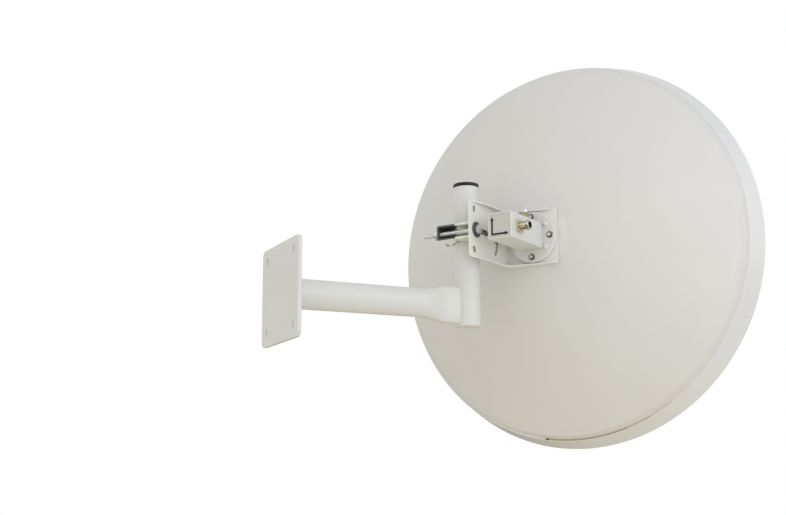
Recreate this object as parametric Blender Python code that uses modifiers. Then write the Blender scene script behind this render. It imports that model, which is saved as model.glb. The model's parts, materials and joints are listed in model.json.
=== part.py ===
"""Dish antenna with a cone radome, on a pole clamp and a wall arm.

The part's frame has its origin on the wall face of the wall plate, +Y out of the wall along the arm
and +Z up. The arm carries an upright mast. Two channel jaws grip the mast and let the antenna swing
about it. The bracket's clamp plate tilts about the near clamp bolt, and its arc slot runs on the far
bolt. Lengths are in metres.
"""
from math import asin, copysign, cos, pi, radians, sin, sqrt

import bmesh
import bpy
from mathutils import Matrix, Vector

# The gap between pieces that touch, and the running clearance of a bolt in its slot
SEAT_GAP = 0.0003
BOLT_CLEARANCE = 0.0005

# Wall plate, arm and mast
WALL_PLATE_SIDE = 0.150
WALL_PLATE_THICKNESS = 0.006
WALL_PLATE_CORNER = 0.010
WALL_HOLE_RADIUS = 0.0055
WALL_HOLE_SPREAD = 0.110
ARM_REACH = 0.320
ARM_RADIUS = 0.023
ARM_END_HALF_HEIGHT = 0.030
ARM_END_HALF_WIDTH = 0.0105
ARM_END_SQUARENESS = 0.4
ARM_FLAT_LENGTH = 0.040
ARM_TAPER_LENGTH = 0.045
ARM_SADDLE_DEPTH = 0.012
TAPER_STEPS = 6
TUBE_SIDES = 32
TUBE_WALL = 0.0025
MAST_RADIUS = 0.0205
BOLT_HEIGHT = 0.1155
MAST_TOP = BOLT_HEIGHT + 0.081
MAST_FOOT = BOLT_HEIGHT - 0.1498
CAP_HEIGHT = 0.006
CAP_LIP = 0.0005
CAP_CHAMFER = 0.0015
PLUG_DEPTH = 0.010
SWING_AT_REST = radians(30.0)

# Clamp jaws and bolts, measured from the mast's axis at the height of the bolts
BOLT_SPACING = 0.067
BOLT_RADIUS = 0.004
BOLT_TAIL = 0.060
HEX_ACROSS_FLATS = 0.013
HEX_HEIGHT = 0.0063
WASHER_THICKNESS = 0.0016
SMALL_WASHER_RADIUS = 0.0085
WIDE_WASHER_RADIUS = 0.0125
JAW_LENGTH = 0.087
JAW_HEIGHT = 0.025
JAW_WALL = 0.003
JAW_BACK = 0.0305
JAW_SPLIT = 0.0025
JAW_SPLIT_GAP = 0.002
NOTCH_SEAT = MAST_RADIUS + SEAT_GAP
NOTCH_FLOOR = MAST_RADIUS + 0.003
TOOTH_PITCH = 0.0035
TOOTH_DEPTH = 0.0012

# Bracket, measured from the dish axis and from the tilt axis
CLAMP_PLATE_FACE = -0.0471
PLATE_THICKNESS = 0.003
MAST_OFFSET = 0.0845
BRACKET_HALF_HEIGHT = 0.0463
BRACKET_REAR = -0.0193
BRACKET_FRONT = 0.1111
BRACKET_RIGHT = 0.0427
PLATE_CORNER = 0.006
WEB_THICKNESS = 0.0025
# A web stands WEB_SIDE_WIDTH off the clamp plate and WEB_CORNER_WIDTH off the dish plate in the corner
WEB_SIDE_WIDTH = 0.0075
WEB_CORNER_WIDTH = 0.0145
WEB_RUN_OUT = 0.042
WEB_LAP = 0.0005
WEB_STEPS = 5
ARC_SLOT_HALF_ANGLE = radians(24.5)
SLOT_HALF_WIDTH = BOLT_RADIUS + BOLT_CLEARANCE
CROSS_SLOT_LENGTH = 0.034
SPARE_SLOT_AT = (-0.0065, 0.033)
SPARE_SLOT_HALF_WIDTH = 0.00425
SPARE_SLOT_HALF_LENGTH = 0.0012

# Feed: a round flange on the bracket, a square box behind it and two coaxial sockets
FLANGE_RADIUS = 0.043
FLANGE_THICKNESS = 0.008
FLANGE_EDGE_DEPTH = 0.004
FLANGE_EDGE_INSET = 0.003
BOLT_CIRCLE_RADIUS = 0.0337
FLANGE_BOLT_RADIUS = 0.0052
FLANGE_BOLT_HEIGHT = 0.0036
FLANGE_BOLT_SIDE = 0.0016
FLANGE_BOLT_TOP_RADIUS = 0.0036
BOX_SIDE = 0.042
BOX_REAR = -0.0067
BOX_EDGE = 0.0015
LABEL_SIDE = 0.036
LABEL_THICKNESS = 0.0008
SOCKET_PLATE_SIDE = 0.019
SOCKET_PLATE_THICKNESS = 0.0025
SOCKET_PLATE_CORNER = 0.002
SOCKET_RING_RADIUS = 0.0084
SOCKET_RING_LENGTH = 0.004
SOCKET_CHAMFER = 0.0006
SOCKET_BARREL_RADIUS = 0.007
SOCKET_STEP_SLOPE = 0.0005
SOCKET_BORE_RADIUS = 0.0048
SOCKET_BORE_DEPTH = 0.009
SOCKET_LENGTH = 0.019
SIDE_SOCKET_AT = 0.0185
TOP_SOCKET_AT = 0.075

# Reflector and radome, both turned about the dish axis
LIP_RADIUS = 0.340
LIP_AHEAD = 0.2745
REFLECTOR_WALL = 0.002
HUB_RADIUS = 0.048
HUB_BLEND = 0.014
PARABOLA_STEPS = 12
RIM_RADIUS = 0.318
RIM_DEPTH = 0.063
RIM_ROUND = 0.006
RIM_OVERLAP = 0.012
RIM_STANDBACK = 0.002
SKIRT_DEPTH = 0.045
SKIRT_RADIUS = 0.328
RADOME_WALL = 0.003
SKIRT_CORNER_DEPTH = 0.005
CONE_HEIGHT = 0.090
CONE_TIP_RADIUS = 0.055
CONE_STEPS = 4
CONE_FOOT_RISE = 0.002
TIP_ROUND = 0.006
TIP_CROWN = 0.0015
LIP_ROUND = 0.006
DISH_STEPS = 64

# Edges of round pieces that turn by less than this are shaded smooth
SMOOTH_ANGLE = radians(35.0)

COLOURS = {
    "white_paint": ((0.80, 0.79, 0.75), 0.45, 0.0),
    "white_shell": ((0.84, 0.84, 0.83), 0.25, 0.0),
    "dark_jaw": ((0.03, 0.045, 0.042), 0.45, 0.6),
    "pale_jaw": ((0.62, 0.64, 0.58), 0.40, 0.7),
    "zinc": ((0.66, 0.66, 0.64), 0.30, 1.0),
    "nickel": ((0.72, 0.68, 0.55), 0.25, 1.0),
    "black_plastic": ((0.02, 0.02, 0.02), 0.40, 0.0),
    "label": ((0.52, 0.50, 0.47), 0.50, 0.0),
}


def material(name):
    """Return the Principled material of this name, made once."""
    found = bpy.data.materials.get(name)
    if found:
        return found
    colour, roughness, metallic = COLOURS[name]
    made = bpy.data.materials.new(name)
    made.use_nodes = True
    shader = made.node_tree.nodes["Principled BSDF"]
    shader.inputs["Base Color"].default_value = (*colour, 1.0)
    shader.inputs["Roughness"].default_value = roughness
    shader.inputs["Metallic"].default_value = metallic
    made.diffuse_color = (*colour, 1.0)
    return made


def new_object(name, mesh, collection):
    made = bpy.data.objects.new(name, mesh)
    collection.objects.link(made)
    return made


def mesh_object(name, body, smooth=False):
    """Turn a bmesh into a part object, shaded smooth where it is round."""
    bmesh.ops.recalc_face_normals(body, faces=body.faces)
    mesh = bpy.data.meshes.new(name)
    body.to_mesh(mesh)
    body.free()
    if smooth:
        mesh.shade_smooth()
        mesh.set_sharp_from_angle(angle=SMOOTH_ANGLE)
    return new_object(name, mesh, PARTS)


def block(name, size, centre=(0.0, 0.0, 0.0)):
    """A box of this size about its centre."""
    body = bmesh.new()
    place = Matrix.Translation(Vector(centre)) @ Matrix.Diagonal((*size, 1.0))
    bmesh.ops.create_cube(body, size=1.0, matrix=place)
    return mesh_object(name, body)


def rod(name, radius, length, turn, centre=(0.0, 0.0, 0.0), sides=24, smooth=True):
    """A cylinder about its centre, along Z before the turn. Six sides make a hexagon."""
    body = bmesh.new()
    place = Matrix.Translation(Vector(centre)) @ turn
    bmesh.ops.create_cone(body, cap_ends=True, segments=sides, radius1=radius, radius2=radius,
                          depth=length, matrix=place)
    return mesh_object(name, body, smooth)


ALONG_X = Matrix.Rotation(pi / 2, 4, "Y")
ALONG_Y = Matrix.Rotation(-pi / 2, 4, "X")
ALONG_Z = Matrix.Identity(4)


def flat_outline(name, loops, thickness, turn=ALONG_Z):
    """A plate cut to an outline with holes, drawn in local XY and centred on its thickness."""
    curve = bpy.data.curves.new(name + "_outline", "CURVE")
    curve.dimensions = "2D"
    curve.fill_mode = "BOTH"
    curve.extrude = thickness / 2
    for loop in loops:
        spline = curve.splines.new("POLY")
        spline.points.add(len(loop) - 1)
        for point, (x, y) in zip(spline.points, loop):
            point.co = (x, y, 0.0, 1.0)
        spline.use_cyclic_u = True
    drawn = new_object(name + "_outline", curve, PARTS)
    bpy.context.view_layer.update()
    solid = drawn.evaluated_get(bpy.context.evaluated_depsgraph_get())
    mesh = bpy.data.meshes.new_from_object(solid)
    bpy.data.objects.remove(drawn)
    body = bmesh.new()
    body.from_mesh(mesh)
    bpy.data.meshes.remove(mesh)
    bmesh.ops.remove_doubles(body, verts=body.verts, dist=0.00001)
    bmesh.ops.transform(body, matrix=turn, verts=body.verts)
    return mesh_object(name, body)


def turned(name, profile, steps, turn=ALONG_Z):
    """A solid of revolution about local Z, from (radius, height) points."""
    body = bmesh.new()
    points = [body.verts.new((radius, 0.0, height)) for radius, height in profile]
    pairs = list(zip(points, points[1:]))
    if profile[0][0] > 0.0:
        pairs.append((points[-1], points[0]))
    edges = [body.edges.new(pair) for pair in pairs]
    bmesh.ops.spin(body, geom=points + edges, axis=(0.0, 0.0, 1.0), angle=2 * pi, steps=steps,
                   use_merge=True)
    bmesh.ops.remove_doubles(body, verts=body.verts, dist=0.00001)
    bmesh.ops.transform(body, matrix=turn, verts=body.verts)
    return mesh_object(name, body, smooth=True)


def helper(made):
    """Keep a cutter or a joined piece out of the build."""
    PARTS.objects.unlink(made)
    HELPERS.objects.link(made)
    made.hide_render = True
    made.display_type = "WIRE"
    return made


def combine(target, other, operation):
    """Join another mesh to the target, or cut it away."""
    step = target.modifiers.new(operation.title(), "BOOLEAN")
    step.operation = operation
    step.solver = "EXACT"
    step.object = helper(other)
    other.parent = target
    return target


def bevel(made, width, segments=2):
    edge = made.modifiers.new("Edges", "BEVEL")
    edge.width = width
    edge.segments = segments
    edge.limit_method = "ANGLE"
    return made


def finish(made, paint, parent, place=(0.0, 0.0, 0.0)):
    """Give a part its material, its parent and its place."""
    made.data.materials.append(material(paint))
    made.parent = parent
    made.location = made.location + Vector(place)
    return made


def circle(radius, sides, centre=(0.0, 0.0)):
    return [(centre[0] + radius * cos(2 * pi * i / sides), centre[1] + radius * sin(2 * pi * i / sides))
            for i in range(sides)]


def rounded_rectangle(low, high, radius, corners=(True, True, True, True), steps=4):
    """Corner order: low-low, high-low, high-high, low-high."""
    centres = [(low[0] + radius, low[1] + radius), (high[0] - radius, low[1] + radius),
               (high[0] - radius, high[1] - radius), (low[0] + radius, high[1] - radius)]
    square = [low, (high[0], low[1]), high, (low[0], high[1])]
    points = []
    for i in range(4):
        if not corners[i]:
            points.append(square[i])
            continue
        for step in range(steps + 1):
            angle = pi + i * pi / 2 + step * pi / 2 / steps
            points.append((centres[i][0] + radius * cos(angle), centres[i][1] + radius * sin(angle)))
    return points


def arc_slot(centre, radius, start, end, half_width, steps=8, round_steps=4):
    """The outline of a slot with round ends whose middle line is an arc."""
    def along(distance, angle):
        return (centre[0] + distance * cos(angle), centre[1] + distance * sin(angle))

    def round_end(angle, first):
        middle = along(radius, angle)
        return [(middle[0] + half_width * cos(first + pi * i / round_steps),
                 middle[1] + half_width * sin(first + pi * i / round_steps))
                for i in range(1, round_steps)]

    angles = [start + (end - start) * i / steps for i in range(steps + 1)]
    outer = [along(radius + half_width, angle) for angle in angles]
    inner = [along(radius - half_width, angle) for angle in reversed(angles)]
    return outer + round_end(end, end) + inner + round_end(start, start + pi)


def straight_slot(start, end, half_width, round_steps=4):
    """The outline of a slot along local X with round ends."""
    right = [(end[0] + half_width * cos(-pi / 2 + pi * i / (2 * round_steps)),
              end[1] + half_width * sin(-pi / 2 + pi * i / (2 * round_steps)))
             for i in range(2 * round_steps + 1)]
    left = [(start[0] + half_width * cos(pi / 2 + pi * i / (2 * round_steps)),
             start[1] + half_width * sin(pi / 2 + pi * i / (2 * round_steps)))
            for i in range(2 * round_steps + 1)]
    return right + left


def wall_mount():
    """The wall plate, the arm and the mast with its cap and plug, all welded together."""
    half = WALL_PLATE_SIDE / 2
    spread = WALL_HOLE_SPREAD / 2
    holes = [circle(WALL_HOLE_RADIUS, 16, (x, y)) for x in (-spread, spread) for y in (-spread, spread)]
    outline = rounded_rectangle((-half, -half), (half, half), WALL_PLATE_CORNER)
    plate = flat_outline("wall_plate", [outline] + holes, WALL_PLATE_THICKNESS, ALONG_Y)
    finish(plate, "white_paint", None, (0.0, WALL_PLATE_THICKNESS / 2, 0.0))

    finish(arm_tube(), "white_paint", None)

    inner = MAST_RADIUS - TUBE_WALL
    tube = turned("mast", [(MAST_RADIUS, MAST_TOP), (MAST_RADIUS, MAST_FOOT), (inner, MAST_FOOT),
                           (inner, MAST_TOP)], TUBE_SIDES)
    finish(tube, "white_paint", None, (0.0, ARM_REACH, 0.0))

    spigot = inner - SEAT_GAP
    seat = MAST_TOP + SEAT_GAP
    top = seat + CAP_HEIGHT
    cap_radius = MAST_RADIUS + CAP_LIP
    cap = turned("mast_cap", [(0.0, top), (cap_radius - CAP_CHAMFER, top), (cap_radius, top - CAP_CHAMFER),
                              (cap_radius, seat), (spigot, seat), (spigot, seat - PLUG_DEPTH),
                              (0.0, seat - PLUG_DEPTH)], TUBE_SIDES)
    finish(cap, "black_plastic", None, (0.0, ARM_REACH, 0.0))

    plug = turned("mast_foot_plug", [(0.0, MAST_FOOT + PLUG_DEPTH), (spigot, MAST_FOOT + PLUG_DEPTH),
                                     (spigot, MAST_FOOT), (0.0, MAST_FOOT)], TUBE_SIDES)
    finish(plug, "white_paint", None, (0.0, ARM_REACH, 0.0))


def arm_tube():
    """A round tube whose outer end is pressed to a tall flat-sided oval and saddled on the mast."""
    start = WALL_PLATE_THICKNESS + SEAT_GAP
    saddle = ARM_REACH - ARM_SADDLE_DEPTH
    taper_end = ARM_REACH - ARM_FLAT_LENGTH
    taper_start = taper_end - ARM_TAPER_LENGTH
    sections = [start, taper_start]
    sections += [taper_start + ARM_TAPER_LENGTH * (i + 1) / TAPER_STEPS for i in range(TAPER_STEPS)]
    sections += [saddle]
    body = bmesh.new()
    rings = []
    for y in sections:
        share = min(max((y - taper_start) / ARM_TAPER_LENGTH, 0.0), 1.0)
        share = share * share * (3.0 - 2.0 * share)
        wide = ARM_RADIUS + share * (ARM_END_HALF_WIDTH - ARM_RADIUS)
        high = ARM_RADIUS + share * (ARM_END_HALF_HEIGHT - ARM_RADIUS)
        power = 1.0 - share * ARM_END_SQUARENESS
        rings.append([body.verts.new((wide * copysign(abs(x) ** power, x), y,
                                      high * copysign(abs(z) ** power, z)))
                      for x, z in circle(1.0, TUBE_SIDES)])
    for near, far in zip(rings, rings[1:]):
        for i in range(TUBE_SIDES):
            after = (i + 1) % TUBE_SIDES
            body.faces.new((near[i], near[after], far[after], far[i]))
    tube = mesh_object("mast_arm", body, smooth=True)
    wall = tube.modifiers.new("Wall", "SOLIDIFY")
    wall.thickness = TUBE_WALL
    wall.offset = -1.0
    wall.use_even_offset = True
    saddle_cut = rod("mast_arm_cut", MAST_RADIUS + SEAT_GAP, 4 * ARM_END_HALF_HEIGHT, ALONG_Z,
                     (0.0, ARM_REACH, 0.0), TUBE_SIDES, smooth=False)
    return combine(tube, saddle_cut, "DIFFERENCE")


def toothed(start, end, inward):
    """Points of saw teeth along a line, cut inward."""
    line = Vector(end) - Vector(start)
    count = max(int(line.length / TOOTH_PITCH), 1)
    points = []
    for i in range(count):
        tip = Vector(start) + line * (i / count)
        root = Vector(start) + line * ((i + 0.5) / count) + Vector(inward) * TOOTH_DEPTH
        points += [tuple(tip), tuple(root)]
    return points + [tuple(end)]


def jaw(name, back, split, paint, parent):
    """A channel with a toothed notch in both flanges. The back and split are X places."""
    side = 1.0 if back > split else -1.0
    half = JAW_LENGTH / 2
    apex = side * NOTCH_SEAT * sqrt(2.0)
    floor = side * NOTCH_FLOOR
    floor_half = abs(apex - floor)
    mouth_half = abs(apex - split)
    slant = sqrt(0.5)
    outline = [(back, -half), (split, -half)]
    outline += toothed((split, -mouth_half), (floor, -floor_half), (side * slant, -slant))
    outline += toothed((floor, floor_half), (split, mouth_half), (side * slant, slant))
    outline += [(split, half), (back, half)]
    made = flat_outline(name, [outline], JAW_HEIGHT)
    reach = abs(back - split)
    hollow = block(name + "_hollow", (reach, JAW_LENGTH * 1.2, JAW_HEIGHT - 2 * JAW_WALL),
                   (back - side * (JAW_WALL + reach / 2), 0.0, 0.0))
    combine(made, hollow, "DIFFERENCE")
    for end, y in (("near", -BOLT_SPACING / 2), ("far", BOLT_SPACING / 2)):
        hole = rod(f"{name}_{end}_hole", SLOT_HALF_WIDTH, 4 * JAW_WALL, ALONG_X, (back, y, 0.0), 16)
        combine(made, hole, "DIFFERENCE")
    return finish(made, paint, parent)


def clamp(swing):
    """Two jaws, two long bolts, and the washers and nuts on them."""
    plate_back = MAST_OFFSET + CLAMP_PLATE_FACE - PLATE_THICKNESS
    plate_front = MAST_OFFSET + CLAMP_PLATE_FACE
    jaw("outer_jaw", -JAW_BACK, JAW_SPLIT - JAW_SPLIT_GAP / 2, "dark_jaw", swing)
    jaw("inner_jaw", plate_back - SEAT_GAP, JAW_SPLIT + JAW_SPLIT_GAP / 2, "pale_jaw", swing)
    for end, y, washer_radius in (("near", -BOLT_SPACING / 2, WIDE_WASHER_RADIUS),
                                  ("far", BOLT_SPACING / 2, SMALL_WASHER_RADIUS)):
        washer_seat = plate_front + SEAT_GAP
        washer_ring(f"{end}_bolt_washer", washer_radius, washer_seat, y, swing)
        head_seat = washer_seat + WASHER_THICKNESS + SEAT_GAP
        clamp_bolt(f"{end}_clamp_bolt", head_seat, y, swing)
        nut_washer_seat = -JAW_BACK - SEAT_GAP - WASHER_THICKNESS
        washer_ring(f"{end}_nut_washer", SMALL_WASHER_RADIUS, nut_washer_seat, y, swing)
        nut_ring(f"{end}_clamp_nut", nut_washer_seat - SEAT_GAP, y, swing)


def washer_ring(name, radius, start, y, parent):
    inner = SLOT_HALF_WIDTH
    ring = turned(name, [(radius, WASHER_THICKNESS), (radius, 0.0), (inner, 0.0),
                         (inner, WASHER_THICKNESS)], 24, ALONG_X)
    finish(ring, "zinc", parent, (start, y, 0.0))


def clamp_bolt(name, head_seat, y, parent):
    """A hexagon head with a long plain shank that ends past the nut."""
    length = head_seat + BOLT_TAIL
    made = rod(name, BOLT_RADIUS, length, ALONG_X, (head_seat - length / 2, 0.0, 0.0), 16)
    head = rod(name + "_head", HEX_ACROSS_FLATS / sqrt(3.0), HEX_HEIGHT, ALONG_X,
               (head_seat + HEX_HEIGHT / 2, 0.0, 0.0), 6, smooth=False)
    lap = rod(name + "_lap", BOLT_RADIUS, HEX_HEIGHT, ALONG_X, (head_seat, 0.0, 0.0), 16)
    combine(head, lap, "UNION")
    combine(made, head, "UNION")
    finish(made, "zinc", parent, (0.0, y, 0.0))


def nut_ring(name, seat, y, parent):
    centre = (seat - HEX_HEIGHT / 2, 0.0, 0.0)
    made = rod(name, HEX_ACROSS_FLATS / sqrt(3.0), HEX_HEIGHT, ALONG_X, centre, 6, smooth=False)
    bore = rod(name + "_bore", BOLT_RADIUS + SEAT_GAP, 2 * HEX_HEIGHT, ALONG_X, centre, 16)
    combine(made, bore, "DIFFERENCE")
    finish(made, "zinc", parent, (0.0, y, 0.0))


# Local X of an outline becomes Y and its local Y becomes Z
UPRIGHT_SIDEWAYS = Matrix(((0, 0, 1, 0), (1, 0, 0, 0), (0, 1, 0, 0), (0, 0, 0, 1)))
# Local X stays and local Y becomes Z
UPRIGHT_FACING = Matrix(((1, 0, 0, 0), (0, 0, 1, 0), (0, 1, 0, 0), (0, 0, 0, 1)))


def bracket(tilt):
    """A folded plate: the clamp plate, the dish plate, and a narrow web turned in above and below."""
    high = BRACKET_HALF_HEIGHT
    spare_y, spare_z = SPARE_SLOT_AT
    spare_reach = sqrt((BOLT_SPACING - spare_y) ** 2 + spare_z ** 2)
    spare_angle = asin(spare_z / spare_reach)
    spare_half = SPARE_SLOT_HALF_LENGTH / spare_reach
    outline = rounded_rectangle((BRACKET_REAR, -high), (BRACKET_FRONT, high), PLATE_CORNER,
                                (True, False, False, True))
    slots = [arc_slot((0.0, 0.0), BOLT_SPACING, -ARC_SLOT_HALF_ANGLE, ARC_SLOT_HALF_ANGLE,
                      SLOT_HALF_WIDTH, 12),
             straight_slot((0.0, 0.0), (CROSS_SLOT_LENGTH, 0.0), SLOT_HALF_WIDTH)]
    for sign in (1.0, -1.0):
        middle = pi + sign * spare_angle
        slots.append(arc_slot((BOLT_SPACING, 0.0), spare_reach, middle - spare_half,
                              middle + spare_half, SPARE_SLOT_HALF_WIDTH, 3))
    made = flat_outline("bracket", [outline] + slots, PLATE_THICKNESS, UPRIGHT_SIDEWAYS)
    made.location.x = CLAMP_PLATE_FACE - PLATE_THICKNESS / 2

    left = CLAMP_PLATE_FACE - PLATE_THICKNESS
    dish_plate = block("bracket_dish_plate",
                       (BRACKET_RIGHT - left, PLATE_THICKNESS, 2 * high),
                       ((BRACKET_RIGHT + left) / 2 - made.location.x,
                        BRACKET_FRONT - PLATE_THICKNESS / 2, 0.0))
    combine(made, dish_plate, "UNION")
    start = Vector((left + PLATE_THICKNESS, BRACKET_REAR + PLATE_CORNER))
    end = Vector((BRACKET_RIGHT, BRACKET_FRONT - PLATE_THICKNESS))
    # From the near end the edge leaves the plate in a curve, then runs straight to the corner
    full = start + Vector((WEB_SIDE_WIDTH, WEB_RUN_OUT))
    bend = start + Vector((WEB_SIDE_WIDTH, WEB_RUN_OUT / 2))
    curve = [start * (1 - t) ** 2 + bend * 2 * t * (1 - t) + full * t ** 2
             for t in (i / WEB_STEPS for i in range(WEB_STEPS + 1))]
    web = [(left + WEB_LAP, start.y)] + [tuple(point) for point in curve]
    web += [(full.x, end.y - WEB_CORNER_WIDTH), tuple(end)]
    web += [(end.x, BRACKET_FRONT - WEB_LAP), (left + WEB_LAP, BRACKET_FRONT - WEB_LAP)]
    for label, z in (("upper", high - WEB_THICKNESS / 2), ("lower", -high + WEB_THICKNESS / 2)):
        piece = flat_outline(f"bracket_{label}_web", [web], WEB_THICKNESS)
        piece.location = (-made.location.x, 0.0, z)
        combine(made, piece, "UNION")
    finish(made, "white_paint", tilt)


def feed(tilt):
    """The feed flange with its bolts, the feed box, its label and the two coaxial sockets."""
    flange_front = BRACKET_FRONT - PLATE_THICKNESS - SEAT_GAP
    flange_rear = flange_front - FLANGE_THICKNESS
    flange = turned("feed_flange", [(0.0, flange_front), (FLANGE_RADIUS, flange_front),
                                    (FLANGE_RADIUS, flange_rear + FLANGE_EDGE_DEPTH),
                                    (FLANGE_RADIUS - FLANGE_EDGE_INSET, flange_rear),
                                    (0.0, flange_rear)],
                    48, ALONG_Y)
    finish(flange, "white_paint", tilt)

    for number in range(4):
        angle = number * pi / 2
        seat = flange_rear - SEAT_GAP
        head = turned(f"flange_bolt_{number + 1}",
                      [(0.0, 0.0), (FLANGE_BOLT_RADIUS, 0.0), (FLANGE_BOLT_RADIUS, -FLANGE_BOLT_SIDE),
                       (FLANGE_BOLT_TOP_RADIUS, -FLANGE_BOLT_HEIGHT), (0.0, -FLANGE_BOLT_HEIGHT)],
                      16, ALONG_Y)
        finish(head, "zinc", tilt, (BOLT_CIRCLE_RADIUS * cos(angle), seat, BOLT_CIRCLE_RADIUS * sin(angle)))

    front = flange_rear - SEAT_GAP
    box = block("feed_box", (BOX_SIDE, front - BOX_REAR, BOX_SIDE))
    bevel(box, BOX_EDGE)
    finish(box, "white_paint", tilt, (0.0, (front + BOX_REAR) / 2, 0.0))

    label = block("box_label", (LABEL_SIDE, LABEL_THICKNESS, LABEL_SIDE))
    finish(label, "label", tilt, (0.0, BOX_REAR - SEAT_GAP - LABEL_THICKNESS / 2, 0.0))

    coaxial_socket("side_socket", ALONG_X, Vector((1.0, 0.0, 0.0)), SIDE_SOCKET_AT, tilt)
    coaxial_socket("top_socket", ALONG_Z, Vector((0.0, 0.0, 1.0)), TOP_SOCKET_AT, tilt)


def coaxial_socket(name, turn, out, y, tilt):
    """A square plate on the box and a barrel with a wider ring round its open mouth."""
    base = out * (BOX_SIDE / 2 + SEAT_GAP) + Vector((0.0, y, 0.0))
    half = SOCKET_PLATE_SIDE / 2
    outline = rounded_rectangle((-half, -half), (half, half), SOCKET_PLATE_CORNER)
    plate = flat_outline(name + "_plate", [outline], SOCKET_PLATE_THICKNESS, turn)
    finish(plate, "nickel", tilt, base + out * (SOCKET_PLATE_THICKNESS / 2))
    start = SOCKET_PLATE_THICKNESS + SEAT_GAP
    mouth = SOCKET_LENGTH
    floor = mouth - SOCKET_BORE_DEPTH
    step = mouth - SOCKET_RING_LENGTH
    barrel = turned(name, [(0.0, floor), (SOCKET_BORE_RADIUS, floor), (SOCKET_BORE_RADIUS, mouth),
                           (SOCKET_RING_RADIUS - SOCKET_CHAMFER, mouth),
                           (SOCKET_RING_RADIUS, mouth - SOCKET_CHAMFER), (SOCKET_RING_RADIUS, step),
                           (SOCKET_BARREL_RADIUS, step - SOCKET_STEP_SLOPE),
                           (SOCKET_BARREL_RADIUS, start), (0.0, start)], 24, turn)
    finish(barrel, "nickel", tilt, base)


def reflector_profile():
    """Outer side of the reflector from the hub to the rim, as (radius, place along the axis)."""
    hub = BRACKET_FRONT + SEAT_GAP
    rim = LIP_AHEAD - RIM_DEPTH
    rise = (rim - hub) / RIM_RADIUS ** 2
    first = HUB_RADIUS + HUB_BLEND
    spread = RIM_RADIUS - RIM_ROUND - first
    points = [(0.0, hub), (HUB_RADIUS, hub)]
    for step in range(PARABOLA_STEPS + 1):
        radius = first + spread * step / PARABOLA_STEPS
        points.append((radius, hub + rise * radius ** 2))
    points.append((RIM_RADIUS - RIM_ROUND / 6, rim + RIM_ROUND / 3))
    points.append((RIM_RADIUS + RIM_ROUND / 3, rim + RIM_ROUND))
    points += [(skirt_inner_radius(depth) - SEAT_GAP, LIP_AHEAD - depth)
               for depth in (SKIRT_DEPTH - RIM_STANDBACK, RIM_OVERLAP)]
    return points


def skirt_inner_radius(depth):
    """Radius of the radome skirt's inner face at this depth behind the lip."""
    share = (SKIRT_DEPTH - depth) / (SKIRT_DEPTH - SKIRT_CORNER_DEPTH)
    return SKIRT_RADIUS + share * (LIP_RADIUS - SKIRT_RADIUS) - RADOME_WALL


def inset(points, thickness):
    """Points moved inward by the wall thickness, square to the profile."""
    moved = []
    for i, point in enumerate(points):
        before = Vector(points[max(i - 1, 0)])
        after = Vector(points[min(i + 1, len(points) - 1)])
        way = (after - before).normalized()
        side = Vector((-way.y, way.x))
        moved.append(tuple(Vector(point) + side * thickness))
    moved[0] = (0.0, moved[0][1])
    return moved


def dish(tilt):
    """The spun reflector, and the radome that covers its mouth and laps over its rim."""
    outer = reflector_profile()
    inner = inset(outer, REFLECTOR_WALL)
    reflector = turned("reflector", inner + list(reversed(outer)),
                       DISH_STEPS, ALONG_Y)
    finish(reflector, "white_paint", tilt)

    tip = LIP_AHEAD + CONE_HEIGHT
    round_foot = tip - TIP_ROUND
    outer = [(0.0, tip), (CONE_TIP_RADIUS / 2, tip - TIP_CROWN), (CONE_TIP_RADIUS, round_foot)]
    spread = LIP_RADIUS - LIP_ROUND - CONE_TIP_RADIUS
    fall = round_foot - LIP_AHEAD - CONE_FOOT_RISE
    outer += [(CONE_TIP_RADIUS + spread * i / CONE_STEPS, round_foot - fall * i / CONE_STEPS)
              for i in range(1, CONE_STEPS + 1)]
    outer.append((LIP_RADIUS - LIP_ROUND / 6, LIP_AHEAD - LIP_ROUND / 12))
    outer += [(LIP_RADIUS, LIP_AHEAD - LIP_ROUND / 2), (SKIRT_RADIUS, LIP_AHEAD - SKIRT_DEPTH)]
    inner = [(skirt_inner_radius(depth), LIP_AHEAD - depth) for depth in (SKIRT_DEPTH, SKIRT_CORNER_DEPTH)]
    inner += [(radius, height - RADOME_WALL) for radius, height in reversed(outer[:-3])]
    radome = turned("radome", outer + inner, DISH_STEPS, ALONG_Y)
    finish(radome, "white_shell", tilt)


for old in list(bpy.data.objects):
    bpy.data.objects.remove(old)
PARTS = bpy.data.collections.new("dish_antenna")
HELPERS = bpy.data.collections.new("dish_antenna_helpers")
bpy.context.scene.collection.children.link(PARTS)
bpy.context.scene.collection.children.link(HELPERS)

wall_mount()

swing_axis = new_object("swing_axis", None, HELPERS)
swing_axis.location = (0.0, ARM_REACH, BOLT_HEIGHT)
swing_axis.rotation_euler = (0.0, 0.0, SWING_AT_REST)
clamp(swing_axis)

tilt_axis = new_object("tilt_axis", None, HELPERS)
tilt_axis.parent = swing_axis
tilt_axis.location = (MAST_OFFSET, -BOLT_SPACING / 2, 0.0)
bracket(tilt_axis)
feed(tilt_axis)
dish(tilt_axis)
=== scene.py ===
# %% [markdown]
# # A dish antenna on its wall arm
# This lesson dresses a finished CAD part. The part is an off-white microwave antenna: a spun metal bowl
# under a white cone cover, a square feed box on a folded bracket, and a toothed clamp that grips a short
# mast on a wall arm. The CAD solids have the right sizes but few faces. Each one gets a finer piece here,
# with rounded edges, threads, teeth and a painted or plated finish, and rides on the same body.

import json
from math import asin, atan2, cos, degrees, pi, radians, sin, sqrt, tan

import bmesh
import bpy
from mathutils import Matrix, Vector


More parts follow.
